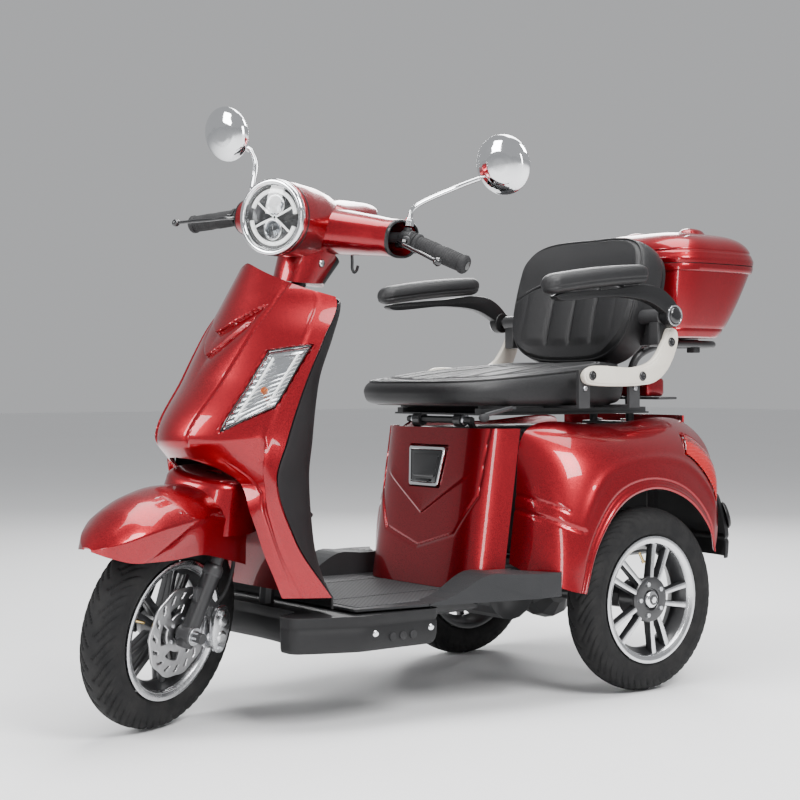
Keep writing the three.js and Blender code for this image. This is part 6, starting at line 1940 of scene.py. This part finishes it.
def arm_pad(side):
    """A padded rest: soft rings along its length, round ends, and a seam along each side."""
    name, put = sided(side)
    ends = np.sin(np.linspace(0, np.pi / 2, 16))
    swell = np.sqrt(1 - (1 - ends) ** 2.2) * 0.98 + 0.02
    v = np.concatenate([ends * 0.10, np.linspace(0.12, 0.88, 50), 1 - ends[::-1] * 0.10])
    size = np.concatenate([swell, np.ones(50), swell[::-1]])
    u = np.linspace(0, 1, 88, endpoint=False)
    rings = []
    for t, k in zip(v, size):
        y = mix(PIVOT_Y - 396.0, PIVOT_Y - 82.0, t)
        wide = 26 + 5.5 * np.sin(np.clip((t - 0.05) * 1.15, 0, 1) * np.pi) ** 0.6
        a, b = squircle(u, wide * k, 22 * k, 2.7)
        groove = 2.2 * soft_fall(b + 7.0, 2.2) * (np.abs(a) > wide * k * 0.6)
        dip = 2.0 * (b > 0) * np.cos(np.clip(a / 31, -1, 1) * np.pi / 2) * np.sin(np.clip(t, 0, 1) * np.pi)
        a = a - np.sign(a) * groove
        rings.append(xyz(ARM_X + 2 + a, y + 0 * a, PIVOT_Z + mix(70.0, 92.0, t) - 15 * (1 - t) ** 2 + b
            + dip))
    piece = build(f"arm_rest_{name}", put(loft(np.array(rings))), LEATHER, f"armrest_{name}",
        angle=60, node=f"arm_pad_{name}")


def arm(side):
    name, put = sided(side)
    y, z = PIVOT_Y, PIVOT_Z
    outline = spline([(y + 16, z - 12), (y - 14, z - 2), (y - 40, z + 12), (y - 88, z + 30),
        (y - 190, z + 37), (y - 360, z + 24), (y - 372, z + 31), (y - 360, z + 37), (y - 190, z + 55),
        (y - 92, z + 67), (y - 42, z + 60), (y - 2, z + 36), (y + 20, z + 8)], 150, True)
    blade = side_plate(outline, ARM_X - 6, ARM_X + 17, 2.0)
    hub = turned(rounded([(9.6, 0), (24, 0), (26, 3), (26, 23), (24, 26), (9.6, 26)], 2.5, 4),
        (ARM_X - 7.5, y, z), (ARM_X - 6.5, y, z), 56, True)
    cap = turned(rounded([(0, 8), (11, 7.4), (17, 4.6), (19.5, 0), (0, 0)], 3, 4, False),
        (ARM_X + 18, y, z), (ARM_X + 19, y, z), 48)
    ring = turned(rounded([(20, 0), (24, 0), (24, 2), (20, 2)], 0.8, 3), (ARM_X + 18, y, z),
        (ARM_X + 19, y, z), 48, True)
    build(f"arm_blade_{name}", put(blade + hub), BLACK_FINE, f"armrest_{name}",
        node=f"armrest_arm_{name}")
    build(f"arm_cap_{name}", put(cap), GLOSS, f"armrest_{name}")
    build(f"arm_ring_{name}", put(ring), CHROME, f"armrest_{name}")
    lower = SEAT_TOP - 34
    points = spline([(aft(-142), lower), (aft(-147), lower + 16), (aft(-126), lower + 33),
        (aft(20), lower + 34), (aft(76), lower + 52), (aft(112), lower + 96), (aft(128), lower + 124),
        (aft(152), lower + 120), (aft(158), lower + 96), (aft(128), lower + 34), (aft(86), lower + 2),
        (aft(30), lower - 8), (aft(-128), lower - 6)], 170, True)
    bracket = side_plate(points, 266.5, 280, 2.5)
    step = np.roll(points, -3, 0) - np.roll(points, 3, 0)
    inward = unit(np.column_stack([step[:, 1], -step[:, 0]]))
    inward = inward if np.sum(inward[:, 1] * (points[:, 1] - lower - 30)) < 0 else -inward
    bracket = bracket + side_plate(points + inward * 5.5, 276, 282, 1.2)
    build(f"bracket_{name}", put(bracket), PALE, "seat", node=f"side_bracket_{name}")
    plugs = NOTHING
    for py, pz in ((aft(-124), lower + 14), (aft(36), lower + 13), (aft(132), lower + 92)):
        plugs += turned(rounded([(0, 2.6), (3.4, 2.6), (4.2, 3.8), (9, 3.8), (11, 1.6), (11, -1), (0, -1)],
            0.9, 3, False), (282, py, pz), (283, py, pz), 36)
    build(f"bracket_plugs_{name}", put(plugs), GLOSS, "seat")


def under_seat():
    repaint("seat_base", COATED)
    repaint("seat_carriage", COATED)
    tilt_y, tilt_z = aft(-328), BODY_TOP + 17
    bolts = NOTHING
    for side in (-1, 1):
        for y in (aft(-133), aft(27)):
            a = (side * 266.4, y, 676)
            bolts += hexagon(a, (side * 271, y, 676), 6)
    build("seat_bolts", bolts, ZINC, "seat")
    pins = rod((-92, tilt_y, tilt_z), (-86, tilt_y, tilt_z), 12, 24) + rod((86, tilt_y, tilt_z),
        (92, tilt_y, tilt_z), 12, 24)
    build("tilt_pins", pins, ZINC, "seat_hinge_frame")
    knob = ball((250, aft(-414), SEAT_BOTTOM - 24), 9, 24, (1, 1.5, 1))
    build("slide_knob", knob, RUBBER, "seat")
    shroud = block(-196, 196, aft(-300), aft(190), BODY_TOP - 8, BODY_TOP - 3, 1.5, 14)
    build("pedestal_lid", shroud, BLACK_FINE, "frame")


# ---------- box and rack
def box_ring(u, v, shrink):
    k = v ** 0.7
    a, b = squircle(u, mix(160.0, BOX_HALF, k) - shrink, mix(98.0, BOX_LENGTH / 2, k) - shrink, 4.3)
    return xyz(a, mix(BOX_Y0 + 110.0, BOX_Y0 + BOX_LENGTH / 2, k) + b, mix(BOX_FLOOR_Z, BOX_RIM_Z, v) + 0 * a)


def top_box():
    u = np.linspace(0, 1, 240, endpoint=False)
    rows = [box_ring(u, 0.0, 60), box_ring(u, 0.0, 10), box_ring(u, 0.006, 3)]
    for v in np.linspace(0.02, 0.90, 40):
        rows.append(box_ring(u, v, 2.2 * soft_fall(v - 0.13, 0.016)))
    for v, out in ((0.905, -3.2), (0.915, -4.6), (0.965, -4.6), (0.985, -3.6), (1.0, -3.0)):
        rows.append(box_ring(u, v, out))
    for v, inset in ((1.0, 4.0), (0.97, 6.0), (0.5, 5.0), (0.06, 6.0), (0.035, 60.0)):
        rows.append(box_ring(u, v, inset))
    rings = np.array(rows)
    build("box_tub", loft(rings), RED, "frame", angle=36, node="top_box_body")
    # the lid: a skirt, a shoulder line and a crown with two raised ovals
    middle = BOX_Y0 + BOX_LENGTH / 2
    rows = []
    for v in np.linspace(0, 1, 70) ** 0.9:
        angle = v * np.pi / 2 * 0.965
        scale = np.cos(angle) ** 0.5
        lip = 4 + 2.6 * soft_fall(v - 0.05, 0.05) - 2.4 * soft_fall(v - 0.185, 0.022)
        a, b = squircle(u, (BOX_HALF + lip) * scale, (BOX_LENGTH / 2 + lip) * scale, 4.0)
        height = LID_HEIGHT * np.sin(angle) ** 0.8
        ridge = 2.6 * scored(a, b, [[(-150, -96), (-118, 20), (-126, 118)],
            [(150, -96), (118, 20), (126, 118)]], 4) * (v > 0.5)
        knob = 0
        for side in (-1, 1):
            q = np.clip(1 - ((a - side * 92) / 24) ** 2 - (b / 37) ** 2, 0, 1)
            knob = knob + 13 * q ** 0.45 * (v > 0.5)
        rows.append(xyz(a, middle + b, BOX_RIM_Z + 2 + height - ridge + knob))
    inner = []
    for v in np.linspace(0.94, 0, 24):
        angle = v * np.pi / 2 * 0.965
        scale = np.cos(angle) ** 0.5
        a, b = squircle(u, BOX_HALF * scale - 1, BOX_LENGTH / 2 * scale - 1, 4.0)
        inner.append(xyz(a, middle + b, BOX_RIM_Z + 2 + (LID_HEIGHT - 5) * np.sin(angle) ** 0.8))
    crown = rows[-1]
    fill = [mix(crown, crown.mean(axis=0), k) for k in (0.25, 0.5, 0.75, 0.97)]
    for ring in fill:
        for side in (-1, 1):
            q = np.clip(1 - ((ring[:, 0] - side * 92) / 24) ** 2 - ((ring[:, 1] - middle) / 37) ** 2, 0, 1)
            ring[:, 2] = BOX_RIM_Z + 2 + LID_HEIGHT * 0.998 + 13 * q ** 0.45
    lid = loft(np.array(rows + fill))
    lid.faces = lid.faces[:-2] + [lid.faces[-1]]
    under = loft(np.array(inner))
    under.faces = under.faces[:-2] + [under.faces[-2]]
    around = len(u)
    total = len(lid.points)
    rim = [[k, (k + 1) % around, total + 23 * around + (k + 1) % around,
        total + 23 * around + k] for k in range(around)]
    whole = Shape(np.vstack([lid.points, under.points]), list(lid.faces)
        + [[i + total for i in f] for f in under.faces] + rim)
    build("box_lid", whole, RED, "box_cover", angle=36, node="top_box_lid")
    seal = [box_ring(u, 1.0, k) + [0, 0, z] for k, z in ((-1.5, 0.0), (-1.5, 2.4), (3, 2.4), (3, 0.0))]
    seal = np.array(seal)
    build("box_seal", Shape(seal, quads(4, around, True, True)), RUBBER, "frame")
    y = BOX_Y0 + BOX_LENGTH
    latch = block(-27, 27, y + 3, y + 15, BOX_RIM_Z - 26, BOX_RIM_Z + 22, 2.5, 7)
    build("box_latch", latch, BLACK_FINE, "box_cover")
    lock = turned(rounded([(0, 1), (5, 1), (5.6, 2.6), (9, 2.6), (10, 0), (0, 0)], 0.6, 2, False),
        (0, y + 14.5, BOX_RIM_Z - 6), (0, y + 15.5, BOX_RIM_Z - 6), 32)
    build("box_lock", lock, CHROME, "box_cover")


def rack():
    rack_y = aft(226)
    top_rail = BODY_TOP - 16 - 2
    hoop = hose([(-110, BOX_Y0 - 16, RACK_Z), (-112, aft(420), RACK_Z), (-98, aft(488), RACK_Z),
        (0, aft(502), RACK_Z), (98, aft(488), RACK_Z), (112, aft(420), RACK_Z), (110, BOX_Y0 - 16, RACK_Z)],
        9, 120, 18)
    shape = hoop
    for side in (-1, 1):
        shape = shape + hose([(side * 62, rack_y, top_rail + 20), (side * 62, rack_y, 700),
            (side * 72, rack_y + 16, 752), (side * 88, BOX_Y0 + 60, RACK_Z - 1),
            (side * 88, BOX_Y0 + 90, RACK_Z - 1)], 10, 60, 18)
    for y in (BOX_Y0 - 10, aft(360)):
        shape = shape + rod((-112, y, RACK_Z), (112, y, RACK_Z), 8, 20)
    shape = shape + block(-100, 100, BOX_Y0 + 60, aft(440), RACK_Z + 6, RACK_Z + 12, 1.2, 10)
    shape = shape + block(-90, 90, rack_y - 14, rack_y + 14, top_rail + 17, top_rail + 24, 1.2, 4)
    shape = shape + block(-BODY_SIDE + 30, BODY_SIDE - 30, rack_y - 30, BOX_Y0 + 6, 648, 654, 1.2, 10)
    build("rack_tubes", shape, COATED, "frame", node="box_rack")
    bracket = block(86, 112, aft(404), aft(428), RACK_Z - 22, RACK_Z + 4, 2, 4)
    bracket = bracket + block(-112, -86, aft(404), aft(428), RACK_Z - 22, RACK_Z + 4, 2, 4)
    build("rack_feet", bracket, RUBBER, "frame")
    bolts = NOTHING
    for x in (-70, 70):
        for y in (BOX_Y0 + 84, aft(424)):
            bolts += hexagon((x, y, RACK_Z + 5), (x, y, RACK_Z - 1), 7)
    for x in (-40, 40):
        bolts = bolts + hexagon((x, rack_y, top_rail + 24), (x, rack_y, top_rail + 30), 7)
    build("rack_bolts", bolts, ZINC, "frame")
    block_red = block(-150, 150, aft(196), aft(258), 655, 700, 8, 14)
    build("tail_block", block_red, RED, "frame")


def hidden():
    repaint("main_frame", COATED)
    repaint("rear_axle", COATED)
    repaint("drive_motor", WHEEL_BLACK)
    repaint("battery_pack", BLACK)
    repaint("controller", ALLOY)
    coils = 5.5
    t = np.linspace(0, 1, 260)
    for side, name in ((1, "left"), (-1, "right")):
        z0, z1 = AXLE_Z + 40.5, 516 - 8
        angle = t * coils * 2 * np.pi
        line = xyz(side * 192 + 20 * np.cos(angle), REAR_Y + 20 * np.sin(angle), mix(z0 + 12, z1 - 12, t))
        spring = tube(line, 4.2, 12)
        core = turned(rounded([(0, 0), (24, 0), (24, 8), (13, 10), (13, 120), (9, 122), (9, 240), (22, 244),
            (22, 262), (0, 262)], 1.5, 3, False), (side * 192, REAR_Y, z0), (side * 192, REAR_Y, z0 + 1),
            36)
        build(f"spring_{name}", core + spring, COATED, "frame", node=f"shock_{name}")


seat_cushion()
backrest()
arm_pad(1)
arm_pad(-1)
arm(1)
arm(-1)
under_seat()
top_box()
rack()
hidden()


# ---------- stage and light
def stage():
    """A plain pale floor under a soft, even surround."""
    world = bpy.data.worlds.new("studio")
    world.use_nodes = True
    world.node_tree.nodes["Background"].inputs[0].default_value = (0.93, 0.94, 0.96, 1)
    world.node_tree.nodes["Background"].inputs[1].default_value = 0.5
    bpy.context.scene.world = world
    mesh = bpy.data.meshes.new("floor")
    size = 30.0
    mesh.from_pydata([(-size, -size, -0.0005), (size, -size, -0.0005), (size, size, -0.0005),
        (-size, size, -0.0005)], [], [(0, 1, 2, 3)])
    floor = bpy.data.objects.new("floor", mesh)
    bpy.context.scene.collection.objects.link(floor)
    f = Finish("pale floor", Specular_IOR_Level=0.3)
    f.set(Base_Color=f.blend(f.noise(0.6, 3.0), (0.86, 0.865, 0.87), (0.90, 0.90, 0.905)))
    f.set(Roughness=0.55 + f.noise(4.0) * 0.1)
    mesh.materials.append(f.material)


def soft_light(name, at, to, width, height, power, colour=(1, 1, 1)):
    data = bpy.data.lights.new(name, "AREA")
    data.shape = "RECTANGLE"
    data.size, data.size_y = width, height
    data.energy = power
    data.color = colour
    lamp = bpy.data.objects.new(name, data)
    bpy.context.scene.collection.objects.link(lamp)
    lamp.location = at
    lamp.rotation_euler = (Vector(to) - Vector(at)).to_track_quat("-Z", "Y").to_euler()


stage()
soft_light("key light", (3.0, -0.4, 3.0), (0, 0, 0.6), 1.5, 1.5, 190)
soft_light("front light", (-0.6, -4.0, 2.4), (0, -0.2, 0.6), 1.2, 2.2, 150)
soft_light("top light", (0.2, 0.3, 3.6), (0, 0, 0.5), 2.6, 2.6, 190)
soft_light("side strip", (3.6, -3.4, 0.9), (0, -0.3, 0.6), 0.5, 1.8, 45)
soft_light("back light", (-2.6, 2.6, 2.4), (0, 0.2, 0.7), 1.6, 1.6, 90)
